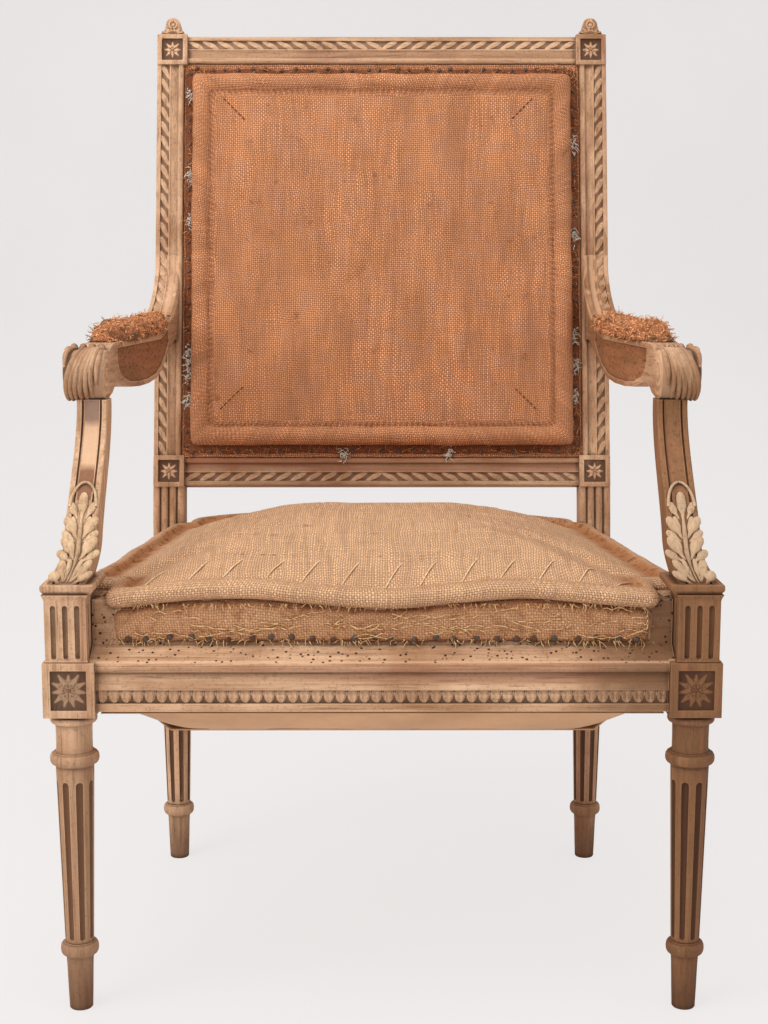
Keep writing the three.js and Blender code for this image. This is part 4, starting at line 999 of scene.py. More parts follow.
def twist(name, surface, length, lean):
    """A row of slanted ribbon turns, each apart from the next, down a channel."""
    sizes = bpy.context.scene.chair_carving
    count = int(length / sizes.twist_pitch)
    pitch = length / count
    slant, reach = lean * 0.5, pitch * 1.3
    turns = [(-math.sin(slant) * reach / 2, pitch * (k + 0.5) - math.cos(slant) * reach / 2, slant,
              sizes.twist_width, reach, 2.8 * MM) for k in range(count)]
    return strewn(name, "turn", turns, surface)


def block_rosette(name, base):
    """A square block of the back's corners with its daisy."""
    sizes = bpy.context.scene.chair_carving
    low, high = (STILE_OUTER - BLOCK_SIDE, -2 * MM, base), (STILE_OUTER, STILE_DEPTH, base + BLOCK_HEIGHT)
    piece = rounded(sunk(block(name, low, high), OUT_Y, sizes.margin * 0.78, sizes.sink), sizes.edge)
    recessed(piece, inside(low, high, 1.2 * MM))
    middle = Vector((STILE_OUTER - BLOCK_SIDE / 2, -2 * MM + sizes.sink + HAIR, base + BLOCK_HEIGHT / 2))
    face = plane(middle, OUT_X, UP, OUT_Y)
    return joined(name, piece, rosette(name + "_flower", face, sizes.petals, 10 * MM, 2 * MM, 1.1))


def finial():
    """A half-round finial with sloped shoulders, a ring high on its face and leaves below."""
    x, depth, base = STILE_OUTER - BLOCK_SIDE / 2, 24 * MM, BACK_LENGTH
    front = (STILE_DEPTH - depth) / 2
    half = [(15, -0.3), (15, 2.4), (13.4, 4), (11.4, 5.4), (10.2, 8), (9.4, 11)]
    half += [(8.9 * math.cos(k * math.pi / 12), 13.4 + 8.9 * math.sin(k * math.pi / 12)) for k in range(1, 7)]
    outline = [(x + a * MM, front, base + up * MM) for a, up in half]
    outline += [(x - a * MM, front, base + up * MM) for a, up in reversed(half[:-1])]
    piece = rounded(bar("finial", outline, Vector((0, depth, 0))), 1.1 * MM)
    face = plane(Vector((x, front, base)), OUT_X, UP, OUT_Y)
    hoop = [face(4.6 * MM * math.cos(angle), (13 + 4.6 * math.sin(angle)) * MM, 0.2 * MM)
            for angle in (k * math.tau / 20 for k in range(21))]
    ring = tube("finial_ring", hoop, [1.3 * MM] * 21, 8)
    seed = strewn("finial_button", "button", [(0, 10.6 * MM, 0, 4.8 * MM, 4.8 * MM, 1.4 * MM)], face)
    spread = ((-1.35, 14), (1.35, 14), (-0.95, 12), (0.95, 12), (-0.4, 7), (0.4, 7))
    leaves = strewn("finial_leaves", "finger",
                    [(0, 1.4 * MM, turn, 4.2 * MM, reach * MM, 3.4 * MM) for turn, reach in spread], face)
    return joined("finial", piece, ring, seed, leaves)


def stile():
    """The reclining upright in the back's own frame: two blocks, the moulded stretch and the finial."""
    low, high = BLOCK_HEIGHT - 1 * MM, BACK_LENGTH - BLOCK_HEIGHT + 1 * MM
    inner = STILE_OUTER - STILE_FACE
    outline = [(STILE_OUTER - across, depth, low) for across, depth in moulding(STILE_FACE)]
    outline += [(x, y, low) for x, y in (
        (inner, 10 * MM), (inner - LEDGE, 10 * MM), (inner - LEDGE, STILE_DEPTH),
        (STILE_OUTER - 2 * MM, STILE_DEPTH), (STILE_OUTER, STILE_DEPTH - 2 * MM))]
    upright = bar("upright", outline, Vector((0, 0, high - low)))
    recessed(upright, lambda face: face.normal.y < -0.9 and abs(face.center.y - TWIST_FLOOR) < 0.2 * MM
             and face.center.x > STILE_OUTER - STILE_FACE / 2, 0.75)
    channel = plane(Vector((STILE_OUTER - STILE_FACE * TWIST_SHARE, TWIST_FLOOR, low)), OUT_X, UP, OUT_Y)
    ribbon = twist("upright_twist", channel, high - low, 1)
    blocks = [block_rosette("low_block", 0), block_rosette("top_block", BACK_LENGTH - BLOCK_HEIGHT)]
    piece = joined("stile", upright, ribbon, *blocks, finial())
    piece.data.transform(BACK)
    return piece


def stile_foot():
    """The reeded stretch between the die and the lower block, curving into the back's slope."""
    slope, reach = math.tan(RECLINE), BACK_FOOT.z - DIE_TOP
    reeds, groove = 4, 2.2 * MM
    width = (BLOCK_SIDE - groove * (reeds - 1)) / reeds
    face = []
    for index in range(reeds):
        start = index * (width + groove)
        face += [(start, 1.4 * MM), (start + width * 0.18, 0.3 * MM), (start + width * 0.5, 0),
                 (start + width * 0.82, 0.3 * MM), (start + width, 1.4 * MM)]
        if index < reeds - 1:
            face += [(start + width + groove * 0.2, 3 * MM), (start + width + groove * 0.8, 3 * MM)]
    section = face + [(BLOCK_SIDE, STILE_DEPTH), (0, STILE_DEPTH)]
    rings = []
    for step in range(9):
        share = step / 8
        front = BACK_FOOT.y - slope * reach * (1 - share * share) / 2
        z = DIE_TOP - HAIR + (BACK_FOOT.z + 2 * MM - DIE_TOP) * share
        rings.append([(STILE_OUTER - BLOCK_SIDE + across, front + depth, z) for across, depth in section])
    return lofted("stile_foot", rings)


class CHAIR_OT_back_legs(bpy.types.Operator):
    """Back legs and the stiles that they run on into"""
    bl_idname = "chair.back_legs"
    bl_label = "Back Legs"

    def execute(self, context):
        leg = turned_leg("carved_back_leg_right", BACK_HIGH.x - DIE_SIDE / 2, BACK_LEG_Y)
        square = die("die", BACK_LEG_Y - DIE_SIDE / 2, False)
        right = joined("carved_back_leg_right", leg, square, stile_foot(), stile())
        paired(right, palette()["stile_right"], palette()["leg_back"], "back_leg_{}")
        return {"FINISHED"}


RAIL_MOULDING = [
    (6, 302), (6, 309), (6.5, 309.6), (9.6, 309.9), (9.6, 322), (6.6, 322.3), (6.1, 323), (6.2, 324.2),
    (6.5, 326), (7.3, 328.6), (8.6, 331), (9.7, 333.4), (10.2, 336), (10.4, 339.4), (7, 339.8), (5.6, 340.8),
    (4.7, 342.2), (4.4, 344), (4.6, 345.4), (5.4, 346), (5.4, 346.8), (6.2, 347.6), (7.4, 348.6), (49, 350),
    (49, 302),
]
TACK_BAND = [(7.4, 348.4), (12, 350.6), (30.4, 361.8), (31, 363), (31, 405), (49, 405), (49, 348)]


def rail(name, length, reach):
    """A moulded seat rail along x, face forward, from its middle, with its band of leaves."""
    half = length / 2
    lower = bar(name, [(-half, y * MM, z * MM) for y, z in RAIL_MOULDING], Vector((length, 0, 0)))
    outline = [(-half - reach, y * MM, z * MM) for y, z in TACK_BAND]
    upper = bar(name + "_band", outline, Vector((length + reach * 2, 0, 0)))
    recessed(lower, lambda face: face.normal.y < -0.9 and abs(face.center.y - 9.6 * MM) < 0.2 * MM, 0.8)
    count = int(length / bpy.context.scene.chair_carving.tongue_pitch)
    pitch = length / count
    face = plane(Vector((-half, 9.4 * MM, 309.6 * MM)), OUT_X, UP, OUT_Y)
    tongues = strewn(name + "_tongues", "tongue", [
        (pitch * (k + 0.5), 16 * MM, math.pi, pitch * 0.9, 16 * MM, 2.6 * MM) for k in range(count)], face)
    darts = strewn(name + "_darts", "petal", [
        (pitch * k, 12.6 * MM, math.pi, 1.8 * MM, 6 * MM, 1.2 * MM) for k in range(1, count)], face)
    return joined(name, lower, tongues, darts), upper


class CHAIR_OT_seat_rails(bpy.types.Operator):
    """Seat rails with their leaf bands, and the bare bands that the burlap is tacked to"""
    bl_idname = "chair.seat_rails"
    bl_label = "Seat Rails"

    def execute(self, context):
        front_length = 2 * (LEG_LOW.x - HAIR)
        front, band = rail("moulded_front_rail", front_length, 6 * MM)
        for piece, material, nodes in ((front, "rail_x", ["front_seat_rail"]), (band, "tacked_x", [])):
            piece.data.transform(Matrix.Translation((0, FRONT, 0)))
            smooth(piece)
            placed(piece, palette()[material], "beech_frame", *nodes)
        start = Vector((LEG_HIGH.x, FRONT + DIE_SIDE + HAIR, 0))
        end = Vector((BACK_HIGH.x, BACK_LEG_Y - DIE_SIDE / 2 - HAIR, 0))
        run = end - start
        turn = math.atan2(-run.x, run.y)
        side, side_band = rail("moulded_rail_right", run.length, 0)
        place = Matrix.Translation((start + end) / 2) @ Matrix.Rotation(math.pi / 2 + turn, 4, "Z")
        side_band.name = "tack_band_right"
        band.name = "tack_band_front"
        side.data.transform(place)
        side_band.data.transform(place)
        paired(side, palette()["right_y"], palette()["left_y"], "{}_seat_rail")
        paired(side_band, palette()["tacked_y"], palette()["tacked_y"])
        low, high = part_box("back_seat_rail")
        inner = BACK_HIGH.x - DIE_SIDE - HAIR
        back = rounded(block("plain_back_rail", (-inner, low.y, low.z), (inner, high.y, high.z)), 1.6 * MM)
        edit(back)
        pick(lambda f: f.normal.y > 0.99)
        bpy.ops.mesh.inset(thickness=9 * MM)
        bpy.ops.mesh.inset(thickness=1.5 * MM, depth=-1.2 * MM)
        rest()
        smooth(back)
        placed(back, palette()["tacked_x"], "beech_frame", "back_seat_rail")
        return {"FINISHED"}


class CHAIR_OT_back_rails(bpy.types.Operator):
    """Top and bottom rails of the back, with their ribbon twists"""
    bl_idname = "chair.back_rails"
    bl_label = "Back Rails"

    def execute(self, context):
        half = STILE_OUTER - BLOCK_SIDE - HAIR
        height, back = BLOCK_HEIGHT - 4 * MM, 2 * MM
        floor = back + TWIST_FLOOR
        top = BACK_LENGTH - BLOCK_HEIGHT + 2 * MM + height
        rails = [("moulded_top_rail", "back_top_rail", top, -1, "rail_top"),
                 ("moulded_bottom_rail", "back_bottom_rail", 2 * MM, 1, "rail_low")]
        for name, node, base, sign, finish in rails:
            outline = [(-half, back + depth, base + sign * across) for across, depth in moulding(height)]
            inner = base + sign * height
            outline += [(-half, 12 * MM, inner), (-half, 12 * MM, inner + sign * LEDGE),
                        (-half, STILE_DEPTH, inner + sign * LEDGE), (-half, STILE_DEPTH, base)]
            piece = bar(name, outline, Vector((half * 2, 0, 0)))
            middle = base + sign * height * TWIST_SHARE
            recessed(piece, lambda face: face.normal.y < -0.9 and abs(face.center.y - floor) < 0.2 * MM
                     and abs(face.center.z - middle) < 5 * MM, 0.75)
            ribbons = []
            for hand, start in ((1, 0), (-1, -half)):
                face = plane(Vector((start, floor, middle)), UP, OUT_X, OUT_Y)
                ribbons.append(twist(f"{name}_twist_{hand}", face, half, sign * -hand))
            piece = joined(name, piece, *ribbons)
            piece.data.transform(BACK)
            placed(smooth(piece), palette()[finish], "beech_frame", node)
        return {"FINISHED"}


# Arm supports
STEM_BOTTOM = CAP_LOW.z + 9 * MM
STEM_TOP = SCROLL_CENTRE.z - 23.6 * MM


def stem_at(share):
    """Front, depth, outer x and width of the stem at a share of its height."""
    sweep = share * share * (3 - 2 * share)
    front = FRONT + (6 + (108 - 6) * sweep) * MM
    depth = (50 - 22 * share) * MM
    flare = max(0, 1 - (STEM_TOP - STEM_BOTTOM) * share / (32 * MM)) ** 1.6
    outer = (300 + flare * 16.3) * MM
    width = (30 + flare * 9) * MM
    return front, depth, outer, width


def stem_middle(z):
    """Middle of the stem across the chair at a height."""
    _, _, outer, width = stem_at(min(1, max(0, (z - STEM_BOTTOM) / (STEM_TOP - STEM_BOTTOM))))
    return outer - width / 2


def stem_surface(across, along, up):
    """A point on the stem's front: across from its middle, along up the curve, and out from it."""
    share = min(1, max(0, along / (STEM_TOP - STEM_BOTTOM)))
    front, _, outer, width = stem_at(share)
    ahead, _, _, _ = stem_at(min(1, share + 0.01))
    behind, _, _, _ = stem_at(max(0, share - 0.01))
    span = (min(1, share + 0.01) - max(0, share - 0.01)) * (STEM_TOP - STEM_BOTTOM)
    normal = Vector((0, -span, ahead - behind)).normalized()
    return Vector((outer - width / 2 + across, front, STEM_BOTTOM + along)) + normal * up


ACANTHUS = [
    (0, 54, 0, 11, 27, 2.6), (-3.5, 57, -0.5, 8, 17, 2.0), (3.5, 57, 0.5, 8, 17, 2.0),
    (-1.5, 40, -0.62, 10, 24, 2.6), (1.5, 40, 0.62, 10, 24, 2.6), (-3, 38, -1.0, 7.5, 17, 2.0),
    (3, 38, 1.0, 7.5, 17, 2.0),
    (-2.5, 40, -0.3, 7, 21, 2.2), (2.5, 40, 0.3, 7, 21, 2.2),
    (-2, 22, -0.6, 10.5, 25, 2.8), (2, 22, 0.6, 10.5, 25, 2.8), (-4, 20, -1.0, 8.5, 19, 2.2),
    (4, 20, 1.0, 8.5, 19, 2.2), (-3, 23, -0.28, 7, 21, 2.2), (3, 23, 0.28, 7, 21, 2.2),
    (-3, 2, -0.5, 10, 24, 2.6), (3, 2, 0.5, 10, 24, 2.6), (-6, 0, -0.85, 9, 18, 2.4),
    (6, 0, 0.85, 9, 18, 2.4), (-9, 0, -0.25, 8, 15, 2.2), (9, 0, 0.25, 8, 15, 2.2),
    (-2.5, 2, -0.14, 6, 22, 2), (2.5, 2, 0.14, 6, 22, 2),
    (0, -2, 0, 5.5, 62, 3.4),
]


class CHAIR_OT_arm_supports(bpy.types.Operator):
    """Arm supports: cap, swept stem with sunk front and acanthus leaf"""
    bl_idname = "chair.arm_supports"
    bl_label = "Arm Supports"

    def execute(self, context):
        levels = [(0, -2.6), (1, -2.4), (2.2, -1.2), (3, -0.6), (3.6, 0), (8.4, 0), (9.3, -0.9)]
        rings = [rectangle(CAP_LOW.x - out * MM, CAP_LOW.y - out * MM, CAP_HIGH.x + out * MM,
                           CAP_LOW.y + (72 + out) * MM, CAP_LOW.z + rise * MM) for rise, out in levels]
        cap = rounded(lofted("carved_support_right", rings), 0.7 * MM)
        rings = []
        steps, groove, chamfer = 20, 2.6, 2 * MM
        for share in (step / steps for step in range(steps + 1)):
            front, depth, outer, width = stem_at(share)
            sink = 1.1 * min(1, max(0, (share - 0.42) * 12))
            half = [(0, 1.2), (0.04, 0), (0.17, 0), (0.19, groove), (0.22, groove), (0.24, 0.2), (0.27, sink)]
            face = half + [(1 - a, d) for a, d in reversed(half)]
            face = [(outer - width * (1 - a), front + d * MM) for a, d in face]
            face += [(outer, front + depth - chamfer), (outer - chamfer, front + depth),
                     (outer - width + chamfer, front + depth), (outer - width, front + depth - chamfer)]
            z = STEM_BOTTOM - HAIR + (STEM_TOP - STEM_BOTTOM + HAIR) * share
            rings.append([(x, y, z) for x, y in face])
        stem = lofted("stem", rings)
        # Marks the sunk front, which the left stem's finish paints in bands of light and shadow.
        recessed(stem, lambda face: face.normal.y < -0.5 and face.center.z > 0.5
                 and abs(face.center.x - stem_middle(face.center.z)) < 0.24 * 30 * MM, layer="panel")
        right = joined("carved_support_right", cap, stem)
        spots = [(across * MM, along * MM, turn, width * MM * 0.92, length * MM, height * MM * 0.9)
                 for across, along, turn, width, length, height in ACANTHUS]
        leaf = strewn("support_leaf_right", "lobe", spots, stem_surface)
        arch = [stem_surface(12.4 * MM * math.cos(angle), (68 + 21 * math.sin(angle)) * MM, 0.4 * MM)
                for angle in (math.pi * k / 20 for k in range(21))]
        leaf = joined("support_leaf_right", leaf, tube("arch", arch, [1.5 * MM] * 21, 8))
        paired(right, palette()["stem_right"], palette()["stem_left"], "{}_arm_support")
        paired(leaf, palette()["leaf_right"], palette()["leaf"], carved=True)
        return {"FINISHED"}


# Arms
def arm_x(y):
    """Middle of the arm across the chair at a depth: the arm splays towards the front."""
    joint = BACK_FOOT.y + (ARM_JOINT_Z - BACK_FOOT.z) * math.tan(RECLINE)
    return ARM_FRONT_X + (ARM_REAR_X - ARM_FRONT_X) * (y - SCROLL_CENTRE.y) / (joint - SCROLL_CENTRE.y)


def stile_front(z):
    return BACK_FOOT.y + (z - BACK_FOOT.z) * math.tan(RECLINE)


def sweep_at(share):
    """A point of the arm's top edge from the stile, share 0, down to the bed, share 1."""
    joint = stile_front(ARM_JOINT_Z)
    angle = share * (math.pi / 2 - RECLINE)
    low = (math.cos(angle) - math.sin(RECLINE)) / (1 - math.sin(RECLINE))
    drop = 1 - math.sin(angle) / math.cos(RECLINE)
    return (ARM_SWEEP_Y + (joint - ARM_SWEEP_Y) * max(0, low), ARM_BED + (ARM_JOINT_Z - ARM_BED) * drop)


def sweep_surface(across, along, up):
    """A point on the sweep's top: across from its middle, along it from the stile, and out from it."""
    length = 150 * MM
    share = min(1, max(0, along / length))
    y, z = sweep_at(share)
    y_next, z_next = sweep_at(share + 0.02)
    tangent = Vector((0, y_next - y, z_next - z)).normalized()
    normal = Vector((0, tangent.z, -tangent.y))
    if normal.z < 0:
        normal.negate()
    return Vector((arm_x(y) + across, y, z)) + normal * up


ARM_UNDERSIDE = [
    (146, 594), (160, 602), (176, 603), (192, 600), (225, 594), (272, 591.5), (320, 591.5), (361, 594.5),
    (395, 603), (422, 616), (450, 628), (475, 633.5),
]


def arm_outline():
    """Side of the arm from the stile round the scroll and back under."""
    sunk = [sweep_surface(0, 15 * k * MM, (k ** 3 / 1000 - 1) * 3.6 * MM) for k in range(11)]
    line = [(point.y, point.z) for point in sunk]
    line += [(FRONT + y * MM, ARM_BED - drop * MM) for y, drop in ((166, 0), (152, 1), (138, 5))]
    for k in range(15):
        angle = math.radians(60 + 230 * k / 14)
        line.append((SCROLL_CENTRE.y + SCROLL_RADIUS * 0.97 * math.cos(angle),
                     max(SCROLL_CENTRE.z + SCROLL_RADIUS * 0.97 * math.sin(angle), STEM_TOP)))
    line += [(FRONT + y * MM, z * MM) for y, z in ARM_UNDERSIDE]
    return line + [(stile_front(z) + 3 * MM, z) for z in (ARM_UNDER_END, ARM_JOINT_Z)]


def splayed(piece):
    for vertex in piece.data.vertices:
        vertex.co.x += arm_x(vertex.co.y)
    return piece


def scroll_surface(across, along, up):
    """A point on the scroll: across from its middle, along from its top forwards and down."""
    angle = math.pi / 2 + along / SCROLL_RADIUS
    radius = SCROLL_RADIUS + up
    x = arm_x(SCROLL_CENTRE.y) + SCROLL_SHIFT + across
    return Vector((x, SCROLL_CENTRE.y + radius * math.cos(angle), SCROLL_CENTRE.z + radius * math.sin(angle)))


def scroll_lobe(start, end, top, low, radius):
    """A lobe of the leaf round the scroll, swept from near the volute down to the outer side."""
    line, radii = [], []
    for k in range(17):
        share = k / 16
        turn = min(1, max(0, (share - 0.12) / 0.62))
        across = start + (end - start) * turn * turn * (3 - 2 * turn)
        fat = math.sin(math.pi * (0.06 + 0.88 * share)) ** 0.5
        along, up = top + (low - top) * share, (fat - 0.8) * radius
        line.append(scroll_surface(across * MM, along * MM, up * MM * 0.6))
        radii.append(radius * MM * fat)
    return tube("scroll_lobe", line, radii, 10)


def spiral(name, x):
    """The raised line of the volute on a side of the scroll."""
    points, turns, count = [], 2.15, 60
    for k in range(count + 1):
        share = k / count
        radius = SCROLL_RADIUS * (0.9 - 0.72 * share)
        angle = math.pi * 0.45 + share * turns * math.tau
        points.append(Vector((x, radius * math.cos(angle), radius * math.sin(angle))) + SCROLL_CENTRE)
    thickness = [(1.9 - 0.9 * k / count) * MM for k in range(count + 1)]
    return tube(name, points, thickness, 8)


def tube(name, points, radii, sides):
    """A closed round thread through points."""
    points = [Vector(p) for p in points]
    made = []
    up = Vector((1, 0, 0.3)).normalized()
    for k, point in enumerate(points):
        tangent = (points[min(k + 1, len(points) - 1)] - points[max(k - 1, 0)]).normalized()
        side = tangent.cross(up)
        if side.length < 1e-4:
            side = tangent.cross(Vector((0, 1, 0)))
        side.normalize()
        other = tangent.cross(side)
        for j in range(sides):
            angle = math.tau * j / sides
            made.append(point + (side * math.cos(angle) + other * math.sin(angle)) * radii[k])
    return built(name, made, ring_faces(len(points), sides))


SCROLL_LEAVES = [
    (-16, -13.5, 4, 50, 3), (-13.5, -8, -16, 66, 3.2), (-11, -2.5, -16, 76, 3.4), (-8.5, 3, -16, 79, 3.4),
    (-5.5, 8, -16, 79, 3.3), (-2, 12.5, -16, 79, 3.1), (2.5, 16.5, -16, 78, 3), (8.5, 17.5, -16, 30, 3),
    (14, 17.5, -16, 16, 3),
]
BED_SINK = 1.6 * MM
BED_PANEL = [
    (172, 637), (388, 637), (412, 641), (430, 647), (436, 633), (418, 620), (392, 608), (361, 600),
    (320, 597), (272, 597), (225, 600), (192, 607), (177, 616), (171, 627),
]


class CHAIR_OT_arms(bpy.types.Operator):
    """Arms: scroll and leaf in front, stained bed for the pad, moulded sweep into the stile"""
    bl_idname = "chair.arms"
    bl_label = "Arms"

    def execute(self, context):
        outline = [(-ARM_WIDTH / 2, y, z) for y, z in arm_outline()]
        arm = bar("carved_arm_right", outline, Vector((ARM_WIDTH, 0, 0)))
        for side in (-1, 1):
            panel = [(side * (ARM_WIDTH / 2 - BED_SINK), FRONT + y * MM, z * MM) for y, z in BED_PANEL]
            gouged(arm, bar("bed_cutter", panel, Vector((side * 2 * BED_SINK, 0, 0))))
        splayed(rounded(arm, 0.8 * MM))
        scroll_x = arm_x(SCROLL_CENTRE.y) + SCROLL_SHIFT
        rest()
        bpy.ops.mesh.primitive_cylinder_add(
            vertices=48, radius=SCROLL_RADIUS * 0.985, depth=SCROLL_WIDTH, end_fill_type="NGON",
            location=(scroll_x, SCROLL_CENTRE.y, SCROLL_CENTRE.z), rotation=(0, math.pi / 2, 0))
        scroll = named("scroll")
        edit(scroll)
        pick(lambda f: len(f.verts) > 8)
        bpy.ops.mesh.inset(thickness=2.2 * MM, use_individual=True)
        bpy.ops.mesh.inset(thickness=0.8 * MM, depth=-1.4 * MM, use_individual=True)
        pick(lambda v: v.co.z < STEM_TOP, "VERT")
        bpy.ops.transform.resize(value=(1, 1, 0), center_override=(0, 0, STEM_TOP))
        rounded(scroll, 0.8 * MM)
        recessed(scroll, lambda face: abs(face.normal.x) < 0.5)
        extras = [scroll]
        for facing in (-1, 1):
            x = scroll_x + facing * (SCROLL_WIDTH / 2 - 0.9 * MM)
            extras.append(spiral(f"volute_{facing}", x))
            middle = Vector((x, SCROLL_CENTRE.y, SCROLL_CENTRE.z - 3.4 * MM))
            face = plane(middle, Vector((0, 1, 0)), UP, Vector((facing, 0, 0)))
            extras.append(strewn(f"eye_{facing}", "button", [(0, 0, 0, 7 * MM, 7 * MM, 1.6 * MM)], face))
        rim = [(across * ARM_WIDTH / STILE_FACE - ARM_WIDTH / 2, 0.3 * MM - depth)
               for across, depth in moulding(STILE_FACE)]
        rings = [[sweep_surface(-a, (0.8 + step / 14 * 95) * MM, up) for a, up in rim] for step in range(15)]
        ridge = lofted("sweep_moulding", rings)

        def in_channel(face):
            return 0.2 < (arm_x(face.center.y) - face.center.x) / ARM_WIDTH + 0.5 < 0.42

        recessed(ridge, in_channel, 0.75)
        ribbon = twist("sweep_twist", lambda a, b, up: sweep_surface(ARM_WIDTH * 0.19 + a, b, up - 2.3 * MM),
                       94 * MM, -1)
        leaves = joined("scroll_leaf_right", *(scroll_lobe(*spot) for spot in SCROLL_LEAVES))
        spots = [(across * MM, -21 * MM, 0, 9.4 * MM, 17 * MM, 9 * MM) for across in (-13.6, -4.6, 4.6, 13.6)]
        crest = strewn("crest_right", "button", spots, scroll_surface)
        leaf = joined("scroll_leaf_right", leaves, crest)
        right = joined("carved_arm_right", arm, *extras, ridge, ribbon)
        for _ in range(2):
            right.data.materials.append(None)
        for face in right.data.polygons:
            floor = arm_x(face.center.y) - ARM_WIDTH / 2 + BED_SINK
            inner = face.normal.x < -0.9 and abs(face.center.x - floor) < 0.5 * MM
            face.material_index = 1 if inner and face.center.y > FRONT + 180 * MM else 0
        finishes = [[palette()[key], palette()["stained"]] for key in ("right_y", "left_y")]
        paired(right, *finishes, "{}_arm")
        paired(leaf, palette()["scroll"], palette()["scroll"], carved=True)
        return {"FINISHED"}


# Soft goods
def offset_polygon(corners, out):
    """A closed polygon, anticlockwise, with every edge moved outwards."""
    points = [Vector(c) for c in corners]
    moved = []
    for k, point in enumerate(points):
        before, after = points[k - 1], points[(k + 1) % len(points)]
        first, second = (point - before).normalized(), (after - point).normalized()
        normals = Vector((first.y, -first.x)), Vector((second.y, -second.x))
        middle = normals[0] + normals[1]
        moved.append(point + middle * (out / max(0.2, 1 + normals[0].dot(normals[1]))))
    return moved


def reaches(polygon, centre, angles):
    """How far a star-shaped polygon reaches from its centre at each angle."""
    points = np.array([[p.x - centre[0], p.y - centre[1]] for p in polygon])
    after = np.roll(points, -1, axis=0)
    found = np.full(len(angles), 1e9)
    directions = np.stack([np.cos(angles), np.sin(angles)], 1)
    for a, b in zip(points, after):
        edge = b - a
        cross = directions[:, 0] * edge[1] - directions[:, 1] * edge[0]
        safe = np.where(np.abs(cross) < 1e-12, 1e-12, cross)
        distance = (a[0] * edge[1] - a[1] * edge[0]) / safe
        share = (a[0] * directions[:, 1] - a[1] * directions[:, 0]) / safe
        good = (distance > 0) & (share >= -1e-9) & (share <= 1 + 1e-9)
        found = np.where(good & (distance < found), distance, found)
    return found


def softened(values, window):
    kernel = np.hanning(window * 2 + 1)
    kernel /= kernel.sum()
    padded = np.concatenate([values[-window:], values, values[:window]])
    return np.convolve(padded, kernel, "valid")


def outline_samples(corners, centre, step):
    """Angles and arc lengths of points at an even step along an outline."""
    angles, lengths, run = [], [], 0.0
    for k, corner in enumerate(corners):
        a, b = Vector(corner), Vector(corners[(k + 1) % len(corners)])
        count = max(1, round((b - a).length / step))
        for j in range(count):
            point = a.lerp(b, j / count)
            angles.append(math.atan2(point.y - centre[1], point.x - centre[0]))
            lengths.append(run + (b - a).length * j / count)
        run += (b - a).length
    return np.array(angles), np.array(lengths)


def cushion(name, corners, centre, profile, dome, lift, map_point):
    """A closed stuffed form: a profile swept round an outline, then a dome to the middle.
    profile is (out, height) from the hidden underside round the edge to the stitched channel,
    dome(x, y, share) gives the height inside it, and lift(run, ring, x) moves a point of the edge out and up."""
    step, window, steps = bpy.context.scene.chair_seat.step, 4, 34
    angles, lengths = outline_samples(corners, centre, step)
    rings, runs = [], []
    run = 0.0
    for k, (out, height) in enumerate(profile):
        radius = softened(reaches(offset_polygon(corners, out), centre, angles), window)
        if k:
            run += math.hypot(out - profile[k - 1][0], height - profile[k - 1][1])
        ring = []
        for j, angle in enumerate(angles):
            more, up = lift(lengths[j], k, centre[0] + radius[j] * math.cos(angle))
            x = centre[0] + (radius[j] + more) * math.cos(angle)
            y = centre[1] + (radius[j] + more) * math.sin(angle)
            ring.append((x, y, height + up))
        rings.append(ring)
        runs.append(run)
    count = len(angles)
    inner = rings[-1]
    for s in range(1, steps):
        share = 1 - s / steps
        ring = []
        for x, y, z in inner:
            px, py = centre[0] + (x - centre[0]) * share, centre[1] + (y - centre[1]) * share
            ring.append((px, py, dome(px, py, share) + (z - dome(x, y, 1)) * share ** 6))
        rings.append(ring)
    points = [map_point(*p) for ring in rings for p in ring]
    faces, uvs = [], []
    for k in range(len(rings) - 1):
        for j in range(count):
            after = (j + 1) % count
            faces.append((k * count + j, k * count + after, (k + 1) * count + after, (k + 1) * count + j))
            if k < len(profile) - 1:
                u0, u1 = lengths[j], lengths[j] + step
                uvs += [(u0, runs[k]), (u1, runs[k]), (u1, runs[k + 1]), (u0, runs[k + 1])]
            else:
                uvs += [rings[k][j][:2], rings[k][after][:2], rings[k + 1][after][:2], rings[k + 1][j][:2]]
    for ring_index, flip in ((0, True), (len(rings) - 1, False)):
        middle = len(points)
        level = sum(p[2] for p in rings[ring_index]) / count if flip else dome(*centre, 0)
        points.append(map_point(*centre, level))
        for j in range(count):
            a, b = ring_index * count + j, ring_index * count + (j + 1) % count
            corners_uv = [rings[ring_index][j][:2], rings[ring_index][(j + 1) % count][:2], tuple(centre)]
            faces.append((b, a, middle) if flip else (a, b, middle))
            uvs += [corners_uv[1], corners_uv[0], corners_uv[2]] if flip else corners_uv
    piece = built(name, points, faces)
    layer = piece.data.uv_layers.new(name="cloth")
    for loop, value in zip(layer.data, uvs):
        loop.uv = value
    return piece, count


def marked(piece, values):
    """Stores a value at each point for how far the weave darkens it: painted shade on the seat, and on the back
    its tacked margin, the foot of its roll and its stitches.
    """
    attribute = piece.data.attributes.new("edge", "FLOAT", "POINT")
    attribute.data.foreach_set("value", np.array(values, np.float32))


def side_x(y):
    """Outer face of the side rail at a depth: the seat narrows towards the back."""
    slope = (BACK_HIGH.x - LEG_HIGH.x) / (BACK_LEG_Y - DIE_SIDE / 2 - FRONT - DIE_SIDE)
    return LEG_HIGH.x + slope * (y - FRONT - DIE_SIDE)


def seat_corners():
    """Plan of the seat at its tacked face, anticlockwise, cut round posts and stiles."""
    front, post_back, stile_front_y, back = (FRONT + y * MM for y in (31, 90, 434, 462))
    right = [(252 * MM, front), (252 * MM, post_back), (side_x(post_back) - TACK_FACE, post_back),
             (side_x(stile_front_y) - TACK_FACE, stile_front_y), (221 * MM, stile_front_y), (221 * MM, back)]
    return right + [(-x, y) for x, y in reversed(right)]


